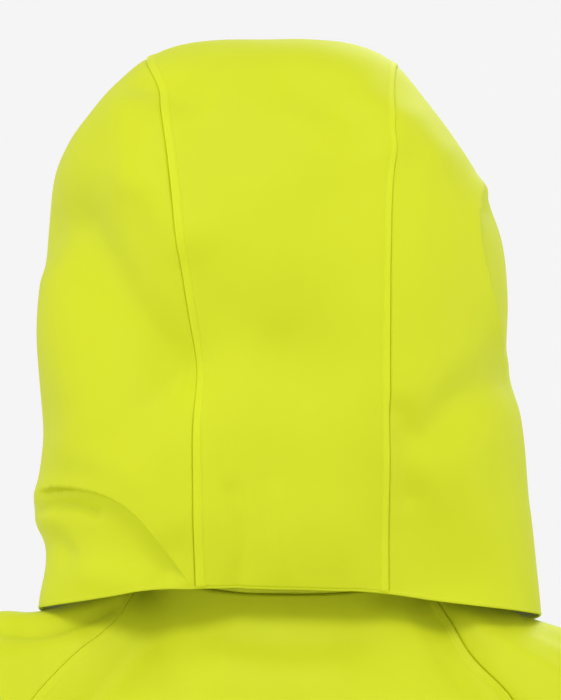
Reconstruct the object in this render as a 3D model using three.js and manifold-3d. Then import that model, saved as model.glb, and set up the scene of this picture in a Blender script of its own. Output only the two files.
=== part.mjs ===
// A hooded hardshell jacket in the shape it has when worn with the hood up.
// Millimetres. +Z is up, +Y is the wearer's back and +X the wearer's left.
// The origin is the middle of the neck opening, level with the neck seam at the back.
import * as THREE from 'three';
import { LoftGeometry } from 'three/addons/geometries/LoftGeometry.js';
import { RoundedBoxGeometry } from 'three/addons/geometries/RoundedBoxGeometry.js';
import { mergeVertices } from 'three/addons/utils/BufferGeometryUtils.js';
import Module from 'manifold-3d';

const wasm = await Module();
wasm.setup();

// Driving dimensions
const CLOTH = 3;                  // shell cloth with its lining and the air between them
const GAP = 0.8;                  // between panels that are sewn together
const HEM_Z = -760;               // bottom edge at the back
const HEM_BAND = 30;
const ARMHOLE = { x: 212, y: 5, z: -122, radius: 96 };
const FRONT = { topY: -104, topZ: 35, lean: 0.0453 };   // line of the main zip
const HOOD_TOP = 360.5;
const HOOD_DOME_Z = 120;          // the hood narrows above this height
const HOOD_DOME_POWER = 3.2;
const ZIP_ROOM = 9;               // half the width left open between the front panels
const MAIN_ZIP = { topZ: 26, bottomZ: -744 };
const POCKET = { x: 118, topZ: -470, bottomZ: -640, slot: 7 };
const CHEST = { x: 92, topZ: -190, bottomZ: -340, slot: 7 };
const FAR = 900;                  // past everything, for blocks that only cut

// Small helpers
const vec = (x, y, z) => new THREE.Vector3(x, y, z);
const mix = THREE.MathUtils.lerp;
const clamp = THREE.MathUtils.clamp;
const radians = THREE.MathUtils.degToRad;
const frontY = (z) => FRONT.topY - (FRONT.topZ - z) * FRONT.lean;

// A smooth value along [position, value] pairs, level before the first and after the last
function profile(pairs) {
  const slope = pairs.map((pair, i) => {
    const before = pairs[Math.max(i - 1, 0)];
    const after = pairs[Math.min(i + 1, pairs.length - 1)];
    return (after[1] - before[1]) / (after[0] - before[0]);
  });
  return (at) => {
    const t = clamp(at, pairs[0][0], pairs[pairs.length - 1][0]);
    let i = 0;
    while (i < pairs.length - 2 && t > pairs[i + 1][0]) i++;
    const [a, b] = [pairs[i], pairs[i + 1]];
    const wide = b[0] - a[0];
    const s = (t - a[0]) / wide;
    const leave = s * (1 - s) * (1 - s) * wide * slope[i];
    const arrive = s * s * (s - 1) * wide * slope[i + 1];
    return mix(a[1], b[1], s * s * (3 - 2 * s)) + leave + arrive;
  };
}

// Turns a geometry into a solid that can be cut and joined
function solid(geometry) {
  const bare = new THREE.BufferGeometry().copy(geometry);
  bare.deleteAttribute('normal');
  bare.deleteAttribute('uv');
  const merged = mergeVertices(bare, 1e-4);
  return new wasm.Manifold(new wasm.Mesh({
    numProp: 3,
    vertProperties: merged.attributes.position.array,
    triVerts: new Uint32Array(merged.index.array),
  }));
}

function geometryOf(made) {
  const mesh = made.getMesh();
  const geometry = new THREE.BufferGeometry();
  geometry.setAttribute('position', new THREE.BufferAttribute(mesh.vertProperties, 3));
  geometry.setIndex(new THREE.BufferAttribute(mesh.triVerts, 1));
  return geometry;
}

const joined = (...geometries) => geometries.map(solid).reduce((made, next) => made.add(next));

// A closed solid through rings of points
const loft = (rings) => new LoftGeometry(rings, { closed: true, capStart: true, capEnd: true });

// One level ring: an oval with its own depth in front and behind, and its own squareness
function oval(z, centreX, half, back, front, backPower, frontPower, count) {
  return Array.from({ length: count }, (_, i) => {
    const angle = (i + 0.5) / count * 2 * Math.PI;
    const [c, s] = [Math.cos(angle), Math.sin(angle)];
    const power = s > 0 ? backPower : frontPower;
    const size = Math.pow(Math.pow(Math.abs(c), power) + Math.pow(Math.abs(s), power), -1 / power);
    return vec(centreX + half * c * size, (s > 0 ? back : front) * s * size, z);
  });
}

// A block with an outline in the XZ plane that runs along Y, and one in the YZ plane along X
const outline = (points) => new THREE.Shape(points.map(([a, b]) => new THREE.Vector2(a, b)));
function blockAlongY(points, lowY, highY) {
  const made = new THREE.ExtrudeGeometry(outline(points), { depth: highY - lowY, bevelEnabled: false });
  return made.rotateX(Math.PI / 2).translate(0, highY, 0);
}
function blockAlongX(points, lowX, highX) {
  const made = new THREE.ExtrudeGeometry(outline(points), { depth: highX - lowX, bevelEnabled: false });
  const turn = new THREE.Matrix4().makeBasis(vec(0, 1, 0), vec(0, 0, 1), vec(1, 0, 0));
  return made.applyMatrix4(turn).translate(lowX, 0, 0);
}

function box(low, high) {
  const size = high.map((value, i) => value - low[i]);
  const middle = high.map((value, i) => (value + low[i]) / 2);
  return new THREE.BoxGeometry(...size).translate(...middle);
}

function rounded(size, radius, centre) {
  return new RoundedBoxGeometry(...size, 1, radius).translate(...centre);
}

function rod(radius, length, axis, centre, sides = 16) {
  const made = new THREE.CylinderGeometry(radius, radius, length, sides);
  if (axis === 'x') made.rotateZ(Math.PI / 2);
  if (axis === 'z') made.rotateX(Math.PI / 2);
  return made.translate(...centre);
}

// The same shape on the wearer's right
function mirrored(geometry) {
  const whole = geometry.index ? geometry : mergeVertices(geometry);
  const copy = new THREE.BufferGeometry().copy(whole).scale(-1, 1, 1);
  const index = copy.getIndex();
  for (let i = 0; i < index.count; i += 3) {
    const first = index.getX(i);
    index.setX(i, index.getX(i + 1));
    index.setX(i + 1, first);
  }
  return copy;
}

// Materials
const material = (colour, roughness, metalness = 0) =>
  new THREE.MeshStandardMaterial({ color: colour, roughness, metalness });
const SHELL = material(0xd7e130, 0.72);
const LINING = material(0xb9bdb8, 0.8);
const TAPE = material(0xb4c024, 0.6);
const COIL = material(0x9aa81e, 0.45);
const METAL = material(0x8b8f8a, 0.35, 0.9);
const PLASTIC = material(0x2a2d2c, 0.5);
const LOOP = material(0xa9b51f, 0.9);

const jacket = new THREE.Group();
const placed = {};
function add(name, shape, finish) {
  const geometry = shape.isBufferGeometry ? shape : geometryOf(shape);
  const mesh = new THREE.Mesh(geometry, finish);
  mesh.name = name;
  placed[name] = mesh;
  jacket.add(mesh);
}

function addPair(name, shape, finish) {
  const geometry = shape.isBufferGeometry ? shape : geometryOf(shape);
  add(name + '_left', geometry, finish);
  add(name + '_right', mirrored(geometry), finish);
}

// The body of the jacket from the hem to the top of the collar, and a stump for each arm
const bodyHalf = profile([[HEM_Z, 211], [-500, 205], [-250, 204], [-150, 190], [-80, 156], [-30, 112],
  [0, 92], [80, 84]]);
const bodyBack = profile([[HEM_Z, 138], [-500, 130], [-230, 143], [-140, 135], [-70, 112], [-25, 90],
  [0, 76], [80, 70]]);
const BODY_POWER = 2.4;
const BODY_LEVELS = [HEM_Z, -640, -470, -310, -205, -150, -110, -75, -45, -20, 0, 25, 80];
const stumpTop = profile([[60, 20], [100, 17], [150, 0], [187, -9],
  [ARMHOLE.x, ARMHOLE.z + ARMHOLE.radius]]);
const stumpBottom = profile([[60, -110], [140, -150], [ARMHOLE.x, ARMHOLE.z - ARMHOLE.radius]]);

function bodySkin(inset) {
  const last = BODY_LEVELS.length - 1;
  return loft(BODY_LEVELS.map((level, i) => {
    const z = level + (i === last ? inset : 0) - (i === 0 ? inset : 0);
    const sizes = [bodyHalf(level), bodyBack(level), -frontY(level)];
    const [half, back, front] = sizes.map((size) => size - inset);
    return oval(z, 0, half, back, front, BODY_POWER, BODY_POWER, 26);
  }));
}

function stumpSkin(inset) {
  const inner = 60;
  return loft([inner, 100, 140, 176, ARMHOLE.x].map((x) => {
    const radius = (stumpTop(x) - stumpBottom(x)) / 2 - inset;
    const middle = (stumpTop(x) + stumpBottom(x)) / 2;
    const wide = mix(52, ARMHOLE.radius, (x - inner) / (ARMHOLE.x - inner)) - inset;
    const over = x === ARMHOLE.x ? inset : 0;
    return Array.from({ length: 20 }, (_, k) => {
      const angle = k / 20 * 2 * Math.PI;
      return vec(x + over, ARMHOLE.y + wide * Math.cos(angle), middle + radius * Math.sin(angle));
    });
  }));
}

function bodyShell() {
  const skin = (inset) => joined(bodySkin(inset), stumpSkin(inset), mirrored(stumpSkin(inset)));
  return skin(0).subtract(skin(CLOTH));
}

// Where the seams run. The neck seam is level at the back, rises at the sides and dips in front.
const NECK_SEAM = [[FAR, -6], [76, 0], [40, 14], [0, 20], [-50, -8], [-106, -62], [-FAR, -66]];
const COLLAR_TOP = [[FAR, 62], [70, 62], [0, 66], [-104, 48], [-FAR, 48]];
const ARMPIT = [206, -250];
const RAGLAN_FRONT = [[64, 60], [72, -6], [104, -46], [134, -88], [168, -136], [196, -190], ARMPIT];
// The cloth hangs unevenly on the shoulders, so the two seams at the back run differently
const RAGLAN_BACK_LEFT = [[80, 60], [84, 24], [99, 2], [111, -16], [144, -45], [170, -78], [190, -130],
  [203, -206], ARMPIT];
const RAGLAN_BACK_RIGHT = [[64, 60], [72, 20], [97, -6], [115, -37], [138, -63], [168, -112], [190, -165],
  [203, -216], ARMPIT];
const shifted = (points, x, z = 0) => points.map(([a, b]) => [a + x, b + z]);
const flipped = (points) => points.map(([a, b]) => [-a, b]).reverse();
const below = (line) => solid(blockAlongX([...line, [-FAR, -FAR], [FAR, -FAR]], -FAR, FAR));
const above = (line) => solid(blockAlongX([...line, [-FAR, FAR], [FAR, FAR]], -FAR, FAR));
const cutBox = (low, high) => solid(box(low, high));

// The middle of the body between a pair of seams, and the shoulder outside one of them. The seam on the
// wearer's right is given as it would run on the left.
function betweenSeams(leftSeam, rightSeam, low, high) {
  const [left, right] = [leftSeam, rightSeam].map((seam) => {
    return [...shifted(seam, -GAP / 2), [FAR, ARMPIT[1]], [FAR, -FAR]];
  });
  return solid(blockAlongY([...left, ...flipped(right)], low, high));
}
function outsideSeam(seam, low, high) {
  const line = shifted(seam.slice(0, -1), GAP / 2);
  const end = [ARMPIT[0] + GAP, ARMPIT[1] + GAP];
  return solid(blockAlongY([...line, end, [FAR, end[1]], [FAR, 200], [line[0][0], 200]], low, high));
}

const body = bodyShell().intersect(below(shifted(NECK_SEAM, 0, -GAP / 2)));
const hemTop = HEM_Z + HEM_BAND;
const aboveHem = cutBox([-FAR, -FAR, hemTop + GAP], [FAR, FAR, FAR]);
const zipRoom = cutBox([-ZIP_ROOM, -FAR, -FAR], [ZIP_ROOM, 0, FAR]);
const side = ARMHOLE.y;           // front and back panels meet here, under the arm
const backRegion = betweenSeams(RAGLAN_BACK_LEFT, RAGLAN_BACK_RIGHT, side + GAP / 2, FAR);
add('back_panel', body.intersect(aboveHem).intersect(backRegion), SHELL);

const pocketSlot = ({ x, slot, bottomZ, topZ }) =>
  cutBox([x - slot, -FAR, bottomZ - 3], [x + slot, 0, topZ + 3]);
const frontRegion = betweenSeams(RAGLAN_FRONT, RAGLAN_FRONT, -FAR, side - GAP / 2);
const front = body.intersect(aboveHem).intersect(frontRegion)
  .intersect(cutBox([ZIP_ROOM, -FAR, -FAR], [FAR, FAR, FAR]))
  .subtract(pocketSlot(POCKET));
add('front_panel_left', front.subtract(pocketSlot(CHEST)), SHELL);
add('front_panel_right', mirrored(geometryOf(front)), SHELL);

function shoulder(backSeam) {
  const behind = outsideSeam(backSeam, side + 0.5, FAR);
  const before = outsideSeam(RAGLAN_FRONT, -FAR, side - 0.5);
  const overSide = [backSeam, RAGLAN_FRONT].map((seam) => outsideSeam(seam, side - 1, side + 1));
  const region = behind.add(before).add(overSide[0].intersect(overSide[1]));
  const armhole = cutBox([ARMHOLE.x - 1, -FAR, -FAR], [FAR, FAR, FAR]);
  return geometryOf(body.intersect(region).subtract(armhole));
}
add('shoulder_left', shoulder(RAGLAN_BACK_LEFT), SHELL);
add('shoulder_right', mirrored(shoulder(RAGLAN_BACK_RIGHT)), SHELL);
const hemRegion = cutBox([-FAR, -FAR, -FAR], [FAR, FAR, hemTop]);
add('hem_band', body.intersect(hemRegion).subtract(zipRoom), TAPE);

// The collar: an outer cloth and a lining, open in front for the zip
const collarRegion = above(shifted(NECK_SEAM, 0, GAP / 2)).intersect(below(COLLAR_TOP)).subtract(zipRoom);
function collarLayer(outer, inner) {
  return solid(bodySkin(outer)).subtract(solid(bodySkin(inner))).intersect(collarRegion);
}
add('collar_outer', collarLayer(0, 1.3), SHELL);
add('collar_lining', collarLayer(1.7, 3), LINING);

// A zip: its frame starts at the closed end on the cloth, with -Y out and -Z along the zip
function frontSurface(x, z) {
  return frontY(z) * Math.pow(1 - Math.pow(x / bodyHalf(z), BODY_POWER), 1 / BODY_POWER);
}
function zipFrame({ x, topZ, bottomZ }) {
  const [top, bottom] = [frontSurface(x, topZ), frontSurface(x, bottomZ)];
  const middle = (topZ + bottomZ) / 2;
  const turn = x === 0 ? 0 : Math.atan2(frontSurface(x + 1, middle) - frontSurface(x - 1, middle), 2);
  const lean = Math.atan2(top - bottom, topZ - bottomZ);
  const place = new THREE.Matrix4().makeTranslation(x, top, topZ);
  place.multiply(new THREE.Matrix4().makeRotationZ(turn));
  place.multiply(new THREE.Matrix4().makeRotationX(-lean));
  return { place, length: Math.hypot(top - bottom, topZ - bottomZ) };
}

const TEETH = { half: 2.2, low: -0.2, high: 2 };
const SLIDER = { half: 5.2, low: -2.6, high: 3.3, height: 13, play: 0.4 };
const PULL = { y: -4.6, z: -4, pin: 0.9, half: 2.8, length: 25 };

function sliderShape() {
  const { half, low, high, height, play } = SLIDER;
  const plate = box([-half, low, -height], [half, high, 0]);
  const ears = [-1, 1].map((s) => {
    const x = s * (half - 0.9);
    return box([x - 0.9, low - 3.6, PULL.z - 2.5], [x + 0.9, low + 1, PULL.z + 2.5]);
  });
  const room = TEETH.half + play;
  const channel = box([-room, TEETH.low - play, -FAR], [room, TEETH.high + play, FAR]);
  return joined(plate, ...ears).subtract(solid(channel));
}

function pullShape() {
  const pin = rod(PULL.pin, 6, 'x', [0, PULL.y, PULL.z], 10);
  const top = PULL.z + 0.6;
  const tab = box([-PULL.half, PULL.y - 0.7, top - PULL.length], [PULL.half, PULL.y + 0.7, top]);
  return joined(pin, tab);
}

function addZip(name, end, spec, tapeFinish) {
  const { place, length } = zipFrame(spec);
  const set = (shape) => (shape.isBufferGeometry ? shape : geometryOf(shape)).applyMatrix4(place);
  const teeth = box([-TEETH.half, TEETH.low, -length], [TEETH.half, TEETH.high, -0.5]);
  add(name + '_zip_teeth' + end, set(teeth), COIL);
  add(name + '_zip_slider' + end, set(sliderShape()), METAL);
  add(name + '_zip_pull' + end, set(pullShape()), PLASTIC);
  if (spec.x === 0) {
    const tape = box([0.6, 4.5, -length - 6], [13, 5.3, 14]);
    add(name + '_zip_tape_left', set(tape), tapeFinish);
    add(name + '_zip_tape_right', mirrored(placed[name + '_zip_tape_left'].geometry), tapeFinish);
  } else {
    add(name + '_zip_tape' + end, set(box([-10, 6.6, -length - 8], [10, 7.4, 8])), tapeFinish);
  }
}

addZip('main', '', { x: 0, ...MAIN_ZIP }, TAPE);
addZip('pocket', '_left', POCKET, TAPE);
for (const part of ['zip_teeth', 'zip_slider', 'zip_pull', 'zip_tape']) {
  const left = placed['pocket_' + part + '_left'];
  add('pocket_' + part + '_right', mirrored(left.geometry), left.material);
}
addZip('chest', '', CHEST, TAPE);
addPair('pocket_bag', box([36, -88, -722], [150, -86.5, -452]), LINING);
add('chest_bag', box([36, -85, -352], [130, -83.5, -178]), LINING);

// Behind the main zip: its bottom box, a storm flap and a guard for the chin
function alongFront(topZ, bottomZ, near, deep) {
  const [top, bottom] = [frontY(topZ), frontY(bottomZ)];
  return [[top + near, topZ], [top + deep, topZ], [bottom + deep, bottomZ], [bottom + near, bottomZ]];
}
const zipBox = alongFront(MAIN_ZIP.bottomZ - 1, MAIN_ZIP.bottomZ - 13, -1.2, 2.8);
add('main_zip_box', blockAlongX(zipBox, -4.5, 4.5), PLASTIC);
add('storm_flap', blockAlongX(alongFront(44, HEM_Z + 4, 6, 8), -22, 16), SHELL);
add('chin_guard', blockAlongX(alongFront(46, 6, 8.6, 10.2), -28, 26), LINING);

// Inside the neck: a loop to hang the jacket by, and a blank label under it
function hangLoop() {
  const [half, deep, tape] = [34, 16, 2];
  const arch = new THREE.Shape();
  arch.absellipse(0, 0, half, deep, 0, -Math.PI, true);
  arch.lineTo(-half + tape, 0);
  arch.absellipse(0, 0, half - tape, deep - tape, -Math.PI, 0, false);
  const made = new THREE.ExtrudeGeometry(arch, { depth: 8, bevelEnabled: false, curveSegments: 12 });
  return made.translate(0, 66, 6);
}
add('hang_loop', hangLoop(), SHELL);
add('blank_label', box([-22, 68, -34], [22, 68.8, 2]), LINING);

// A sleeve: rings between a point on top of the arm and one under it. It starts as a true circle in the
// plane of the armhole, so the swing keeps it in line.
const SLEEVE = [
  { top: [213, -26], under: [213, -218], wide: 96, y: 5 },
  { top: [250, -33], under: [216, -222], wide: 94, y: 5 },
  { top: [290, -58], under: [219, -228], wide: 89, y: 6 },
  { top: [322, -96], under: [222, -237], wide: 84, y: 7 },
  { top: [344, -145], under: [226, -251], wide: 79, y: 8 },
  { top: [357, -205], under: [231, -276], wide: 75, y: 9 },
  { top: [365, -290], under: [237, -325], wide: 71, y: 11 },
  { top: [372, -400], under: [248, -412], wide: 64, y: 14 },
  { top: [379, -540], under: [268, -547], wide: 56, y: 9 },
  { top: [384, -690], under: [290, -692], wide: 47, y: -6 },
];
const CUFF_Z = -660;

function sleeveSkin(inset) {
  const last = SLEEVE.length - 1;
  return loft(SLEEVE.map(({ top, under, wide, y }, i) => {
    const half = vec(top[0] - under[0], 0, top[1] - under[1]).multiplyScalar(0.5);
    const along = vec(-half.z, 0, half.x).normalize().multiplyScalar(-1);
    const centre = vec((top[0] + under[0]) / 2, y, (top[1] + under[1]) / 2);
    if (i === 0 || i === last) centre.addScaledVector(along, i === 0 ? -inset : inset);
    const radius = half.length();
    half.setLength(radius - inset);
    return Array.from({ length: 20 }, (_, k) => {
      const angle = k / 20 * 2 * Math.PI;
      const across = (wide - inset) * Math.cos(angle);
      return centre.clone().addScaledVector(half, Math.sin(angle)).add(vec(0, across, 0));
    });
  }));
}

const sleeveLayer = (outer, inner) => solid(sleeveSkin(outer)).subtract(solid(sleeveSkin(inner)));
const keptSleeve = cutBox([ARMHOLE.x + 0.9, -FAR, CUFF_Z], [FAR, FAR, FAR]);
addPair('sleeve', sleeveLayer(0, CLOTH).intersect(keptSleeve), SHELL);
const cuffRegion = cutBox([0, -FAR, -688], [FAR, FAR, CUFF_Z - GAP]);
addPair('cuff', sleeveLayer(0, CLOTH).intersect(cuffRegion), TAPE);
const patchRegion = cutBox([326, 0, -684], [FAR, FAR, -664]);
addPair('cuff_patch', sleeveLayer(-0.9, -0.4).intersect(patchRegion), LOOP);
const tabRegion = cutBox([318, 0, -686], [FAR, FAR, -662]);
addPair('cuff_tab', sleeveLayer(-3.4, -1.4).intersect(tabRegion), SHELL);

// The hood: level rings that lean a little to the wearer's left as they rise, under a flat crown
const hoodLean = profile([[25, 0], [63, 5], [102, 5], [166, 10], [231, 12], [300, 16], [HOOD_TOP, 15]]);
const hoodHalf = profile([[-12, 162], [25, 158], [63, 158.5], [102, 154], [166, 151], [231, 150.5],
  [282, 144], [308, 138], [334, 135], [350, 142], [358, 165]]);
const hoodBack = profile([[-12, 98], [5, 101], [60, 122], [120, 140], [200, 147], [HOOD_TOP, 150]]);
const hoodFront = profile([[-45, 122], [0, 127], [60, 142], [120, 158], [250, 165], [HOOD_TOP, 160]]);
const hoodFrontPower = profile([[-45, 1.6], [60, 1.8], [150, 2.3]]);
const HOOD_LEVELS = [-50, -10, 30, 75, 125, 180, 231, 275, 308, 330, 345, 354, 359];

function hoodSkin(inset) {
  const last = HOOD_LEVELS.length - 1;
  return loft(HOOD_LEVELS.map((level, i) => {
    const rise = Math.max(0, (level - HOOD_DOME_Z) / (HOOD_TOP - HOOD_DOME_Z));
    const closing = Math.pow(1 - Math.pow(rise, HOOD_DOME_POWER), 1 / HOOD_DOME_POWER);
    const sizes = [hoodHalf(level), hoodBack(level), hoodFront(level)].map((size) => size * closing);
    const steep = i > last - 4 ? inset * 0.6 : inset;
    const [half, back, front] = sizes.map((size) => Math.max(size - steep, 8));
    const z = level - inset * Math.pow(rise, 4) - (i === 0 ? Math.max(inset, 0) : 0);
    return oval(z, hoodLean(level), half, back, front, 2.4, hoodFrontPower(level), 28);
  }));
}

const HOOD_HEM = [[FAR, 6.5], [98, 6.5], [40, 3], [0, 2], [-40, -4], [-60, -18], [-127, -38],
  [-FAR, -38]];
const HOOD_SEAM_LEFT = [[59, -90], [59.3, 8], [61.3, 46], [63.2, 98], [66.4, 147], [69, 175], [72.2, 233],
  [78, 276], [86.4, 319], [94.2, 339], [100, 400]];
const HOOD_SEAM_RIGHT = [[-63.9, -90], [-63.9, 8], [-64.2, 98], [-64.8, 233], [-65.8, 271], [-63.9, 291],
  [-69, 339], [-72, 400]];

// The face opening narrows to the chin. The same outline, grown, bounds its binding.
function faceOutline(grow) {
  const [wide, middleZ, topHeight, chinWide] = [98 + grow, 150, 112 + grow, 52 + grow];
  const arch = Array.from({ length: 17 }, (_, k) => {
    const angle = k / 16 * Math.PI;
    return [wide * Math.cos(angle), middleZ + topHeight * Math.sin(angle)];
  });
  return [[chinWide, -100], [chinWide + 8, 10], ...arch, [-chinWide - 8, 10], [-chinWide, -100]];
}
const faceBlock = (grow) => solid(blockAlongY(faceOutline(grow), -FAR, -30));
const BINDING = 14;
const hoodShell = solid(hoodSkin(0)).subtract(solid(hoodSkin(CLOTH))).intersect(above(HOOD_HEM));
const BRIM = { half: 96, y: -96 };
const brimRegion = cutBox([-BRIM.half, -FAR, 150], [BRIM.half, BRIM.y, FAR]);
const brimRoom = cutBox([-BRIM.half - GAP, -FAR, 150], [BRIM.half + GAP, BRIM.y + GAP, FAR]);
const hoodCloth = hoodShell.subtract(faceBlock(BINDING + GAP)).subtract(brimRoom);
const leftSeam = (gap) => shifted(HOOD_SEAM_LEFT, gap);
const rightSeam = (gap) => shifted(HOOD_SEAM_RIGHT, gap);
const middleRegion = [...leftSeam(-GAP / 2), ...rightSeam(GAP / 2).reverse()];
add('hood_centre_panel', hoodCloth.intersect(solid(blockAlongY(middleRegion, -FAR, FAR))), SHELL);
const leftRegion = [...leftSeam(GAP / 2).reverse(), [FAR, -90], [FAR, 400]];
const rightRegion = [...rightSeam(-GAP / 2), [-FAR, 400], [-FAR, -90]];
add('hood_side_panel_left', hoodCloth.intersect(solid(blockAlongY(leftRegion, -FAR, FAR))), SHELL);
add('hood_side_panel_right', hoodCloth.intersect(solid(blockAlongY(rightRegion, -FAR, FAR))), SHELL);
add('hood_brim', hoodShell.intersect(brimRegion).subtract(faceBlock(BINDING + GAP)), SHELL);
add('hood_face_binding', hoodShell.intersect(faceBlock(BINDING)).subtract(faceBlock(0)), TAPE);

// Inside the hood: a facing along its hem and a tape over each seam
const hoodLining = solid(hoodSkin(3.6)).subtract(solid(hoodSkin(4.6)));
const hemFacing = above(shifted(HOOD_HEM, 0, 1)).intersect(below(shifted(HOOD_HEM, 0, 19)));
const behindFace = cutBox([-FAR, -60, -FAR], [FAR, FAR, FAR]);
add('hood_hem_facing', hoodLining.intersect(hemFacing).intersect(behindFace), LINING);
function seamTape(line) {
  const strip = [...shifted(line, -10), ...shifted(line, 10).reverse()];
  const aboveFacing = above(shifted(HOOD_HEM, 0, 20));
  return hoodLining.intersect(solid(blockAlongY(strip, -20, FAR))).intersect(aboveFacing);
}
add('hood_seam_tape_left', seamTape(HOOD_SEAM_LEFT), LINING);
add('hood_seam_tape_right', seamTape(HOOD_SEAM_RIGHT), LINING);

// A cord lock: a housing with a bore from the top, and a sprung button in it
function cordLock(centre, turn) {
  const turned = new THREE.Matrix4().makeRotationZ(turn);
  const place = new THREE.Matrix4().makeTranslation(...centre).multiply(turned);
  const bore = solid(rod(4.4, 12, 'z', [0, 0, 5], 12));
  const housing = solid(rounded([15, 11, 18], 2.5, [0, 0, 0])).subtract(bore);
  const button = joined(rod(3.9, 9, 'z', [0, 0, 7.5], 12), rounded([9, 8, 3], 1.2, [0, 0, 13.3]));
  return [geometryOf(housing), geometryOf(button)].map((shape) => shape.applyMatrix4(place));
}
const [hemLock, hemButton] = cordLock([146, -82, -738], radians(28));
addPair('hem_cord_lock', hemLock, PLASTIC);
addPair('hem_lock_button', hemButton, PLASTIC);
const [hoodLock, hoodButton] = cordLock([99, -112, 22], radians(38));
addPair('hood_cord_lock', hoodLock, PLASTIC);
addPair('hood_lock_button', hoodButton, PLASTIC);

export default jacket;
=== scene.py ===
# A hooded hardshell jacket, filled out as worn, with the hood up
import math

import bmesh
import bpy
import numpy as np
from mathutils import Matrix, Vector, noise


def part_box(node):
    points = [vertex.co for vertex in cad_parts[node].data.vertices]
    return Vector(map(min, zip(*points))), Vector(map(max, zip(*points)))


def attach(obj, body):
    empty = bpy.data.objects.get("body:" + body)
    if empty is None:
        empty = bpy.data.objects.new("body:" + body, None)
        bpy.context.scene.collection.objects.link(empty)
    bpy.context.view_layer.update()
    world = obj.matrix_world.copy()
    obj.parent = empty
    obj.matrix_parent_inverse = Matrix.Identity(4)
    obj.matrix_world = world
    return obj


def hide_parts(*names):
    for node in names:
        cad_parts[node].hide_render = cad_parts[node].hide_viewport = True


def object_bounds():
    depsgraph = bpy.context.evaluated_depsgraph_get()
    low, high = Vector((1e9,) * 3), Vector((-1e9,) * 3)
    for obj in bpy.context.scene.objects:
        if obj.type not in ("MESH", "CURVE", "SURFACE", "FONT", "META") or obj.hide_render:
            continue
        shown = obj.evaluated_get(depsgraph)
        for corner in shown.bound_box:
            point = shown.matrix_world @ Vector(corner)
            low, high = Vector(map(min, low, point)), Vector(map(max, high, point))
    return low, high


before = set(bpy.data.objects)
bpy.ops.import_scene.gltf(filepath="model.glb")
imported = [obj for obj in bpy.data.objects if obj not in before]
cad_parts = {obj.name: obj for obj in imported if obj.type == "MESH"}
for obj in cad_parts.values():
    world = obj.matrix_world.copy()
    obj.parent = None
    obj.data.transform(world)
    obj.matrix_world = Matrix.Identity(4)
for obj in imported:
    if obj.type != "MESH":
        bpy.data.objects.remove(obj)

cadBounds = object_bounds()
scene = bpy.context.scene
mm = 0.001


def boxMm(node):
    low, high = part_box(node)
    return np.array(low) / mm, np.array(high) / mm


print("frame loaded:", len(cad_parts), "nodes")

# Shapes are worked out in millimetres and become metres when their mesh is made


def profile(*pairs):
    # a smooth value along (place, value) pairs, level outside them
    places, values = (np.array(column, float) for column in zip(*pairs))
    slopes = np.gradient(values, places)
    slopes[1:-1] = (values[2:] - values[:-2]) / (places[2:] - places[:-2])

    def at(where):
        t = np.clip(where, places[0], places[-1])
        i = np.clip(np.searchsorted(places, t, side="right") - 1, 0, len(places) - 2)
        wide = places[i + 1] - places[i]
        s = (t - places[i]) / wide
        smooth = s * s * (3 - 2 * s)
        leave = s * (1 - s) ** 2 * wide * slopes[i]
        arrive = s * s * (s - 1) * wide * slopes[i + 1]
        return values[i] + (values[i + 1] - values[i]) * smooth + leave + arrive

    return at


def curveThrough(points, count):
    # evenly spaced points on a smooth curve through the given ones
    points = np.array(points, float)
    gaps = np.maximum(np.linalg.norm(np.diff(points, axis=0), axis=1), 1e-6)
    along = np.concatenate([[0], np.cumsum(gaps)])
    fine = np.linspace(0, along[-1], 40 * len(points))
    path = np.stack([profile(*zip(along, points[:, k]))(fine) for k in range(points.shape[1])], axis=1)
    return evenly(path, count)


def evenly(path, count):
    steps = np.linalg.norm(np.diff(path, axis=0), axis=1)
    along = np.concatenate([[0], np.cumsum(steps)])
    wanted = np.linspace(0, along[-1], count)
    return np.stack([np.interp(wanted, along, path[:, k]) for k in range(path.shape[1])], axis=1)


def rootBetween(field, inside, outside, turns=34):
    # the place on each line from inside to outside where the field is zero
    low = np.zeros(len(inside))
    high = np.ones(len(inside))
    for _ in range(turns):
        middle = (low + high) / 2
        value = field(inside + (outside - inside) * middle[:, None])
        low = np.where(value < 0, middle, low)
        high = np.where(value < 0, high, middle)
    return inside + (outside - inside) * low[:, None]


def gradientOf(field, points, step=0.4):
    steps = np.eye(3) * step
    return np.stack([(field(points + s) - field(points - s)) / (2 * step) for s in steps], axis=-1)


def outward(field, points):
    slope = gradientOf(field, points)
    return slope / np.maximum(np.linalg.norm(slope, axis=-1, keepdims=True), 1e-9)


def patchBetween(bottom, top, left, right):
    # a sheet whose four edges are the given curves: bottom and top run along it, left and right up it
    s = np.linspace(0, 1, len(bottom))[None, :, None]
    t = np.linspace(0, 1, len(left))[:, None, None]
    rows = (1 - t) * bottom[None] + t * top[None]
    columns = (1 - s) * left[:, None] + s * right[:, None]
    corners = ((1 - s) * (1 - t) * bottom[0] + s * (1 - t) * bottom[-1]
               + (1 - s) * t * top[0] + s * t * top[-1])
    return rows + columns - corners


def smoothStep(low, high, value):
    t = np.clip((value - low) / (high - low), 0, 1)
    return t * t * (3 - 2 * t)


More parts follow.
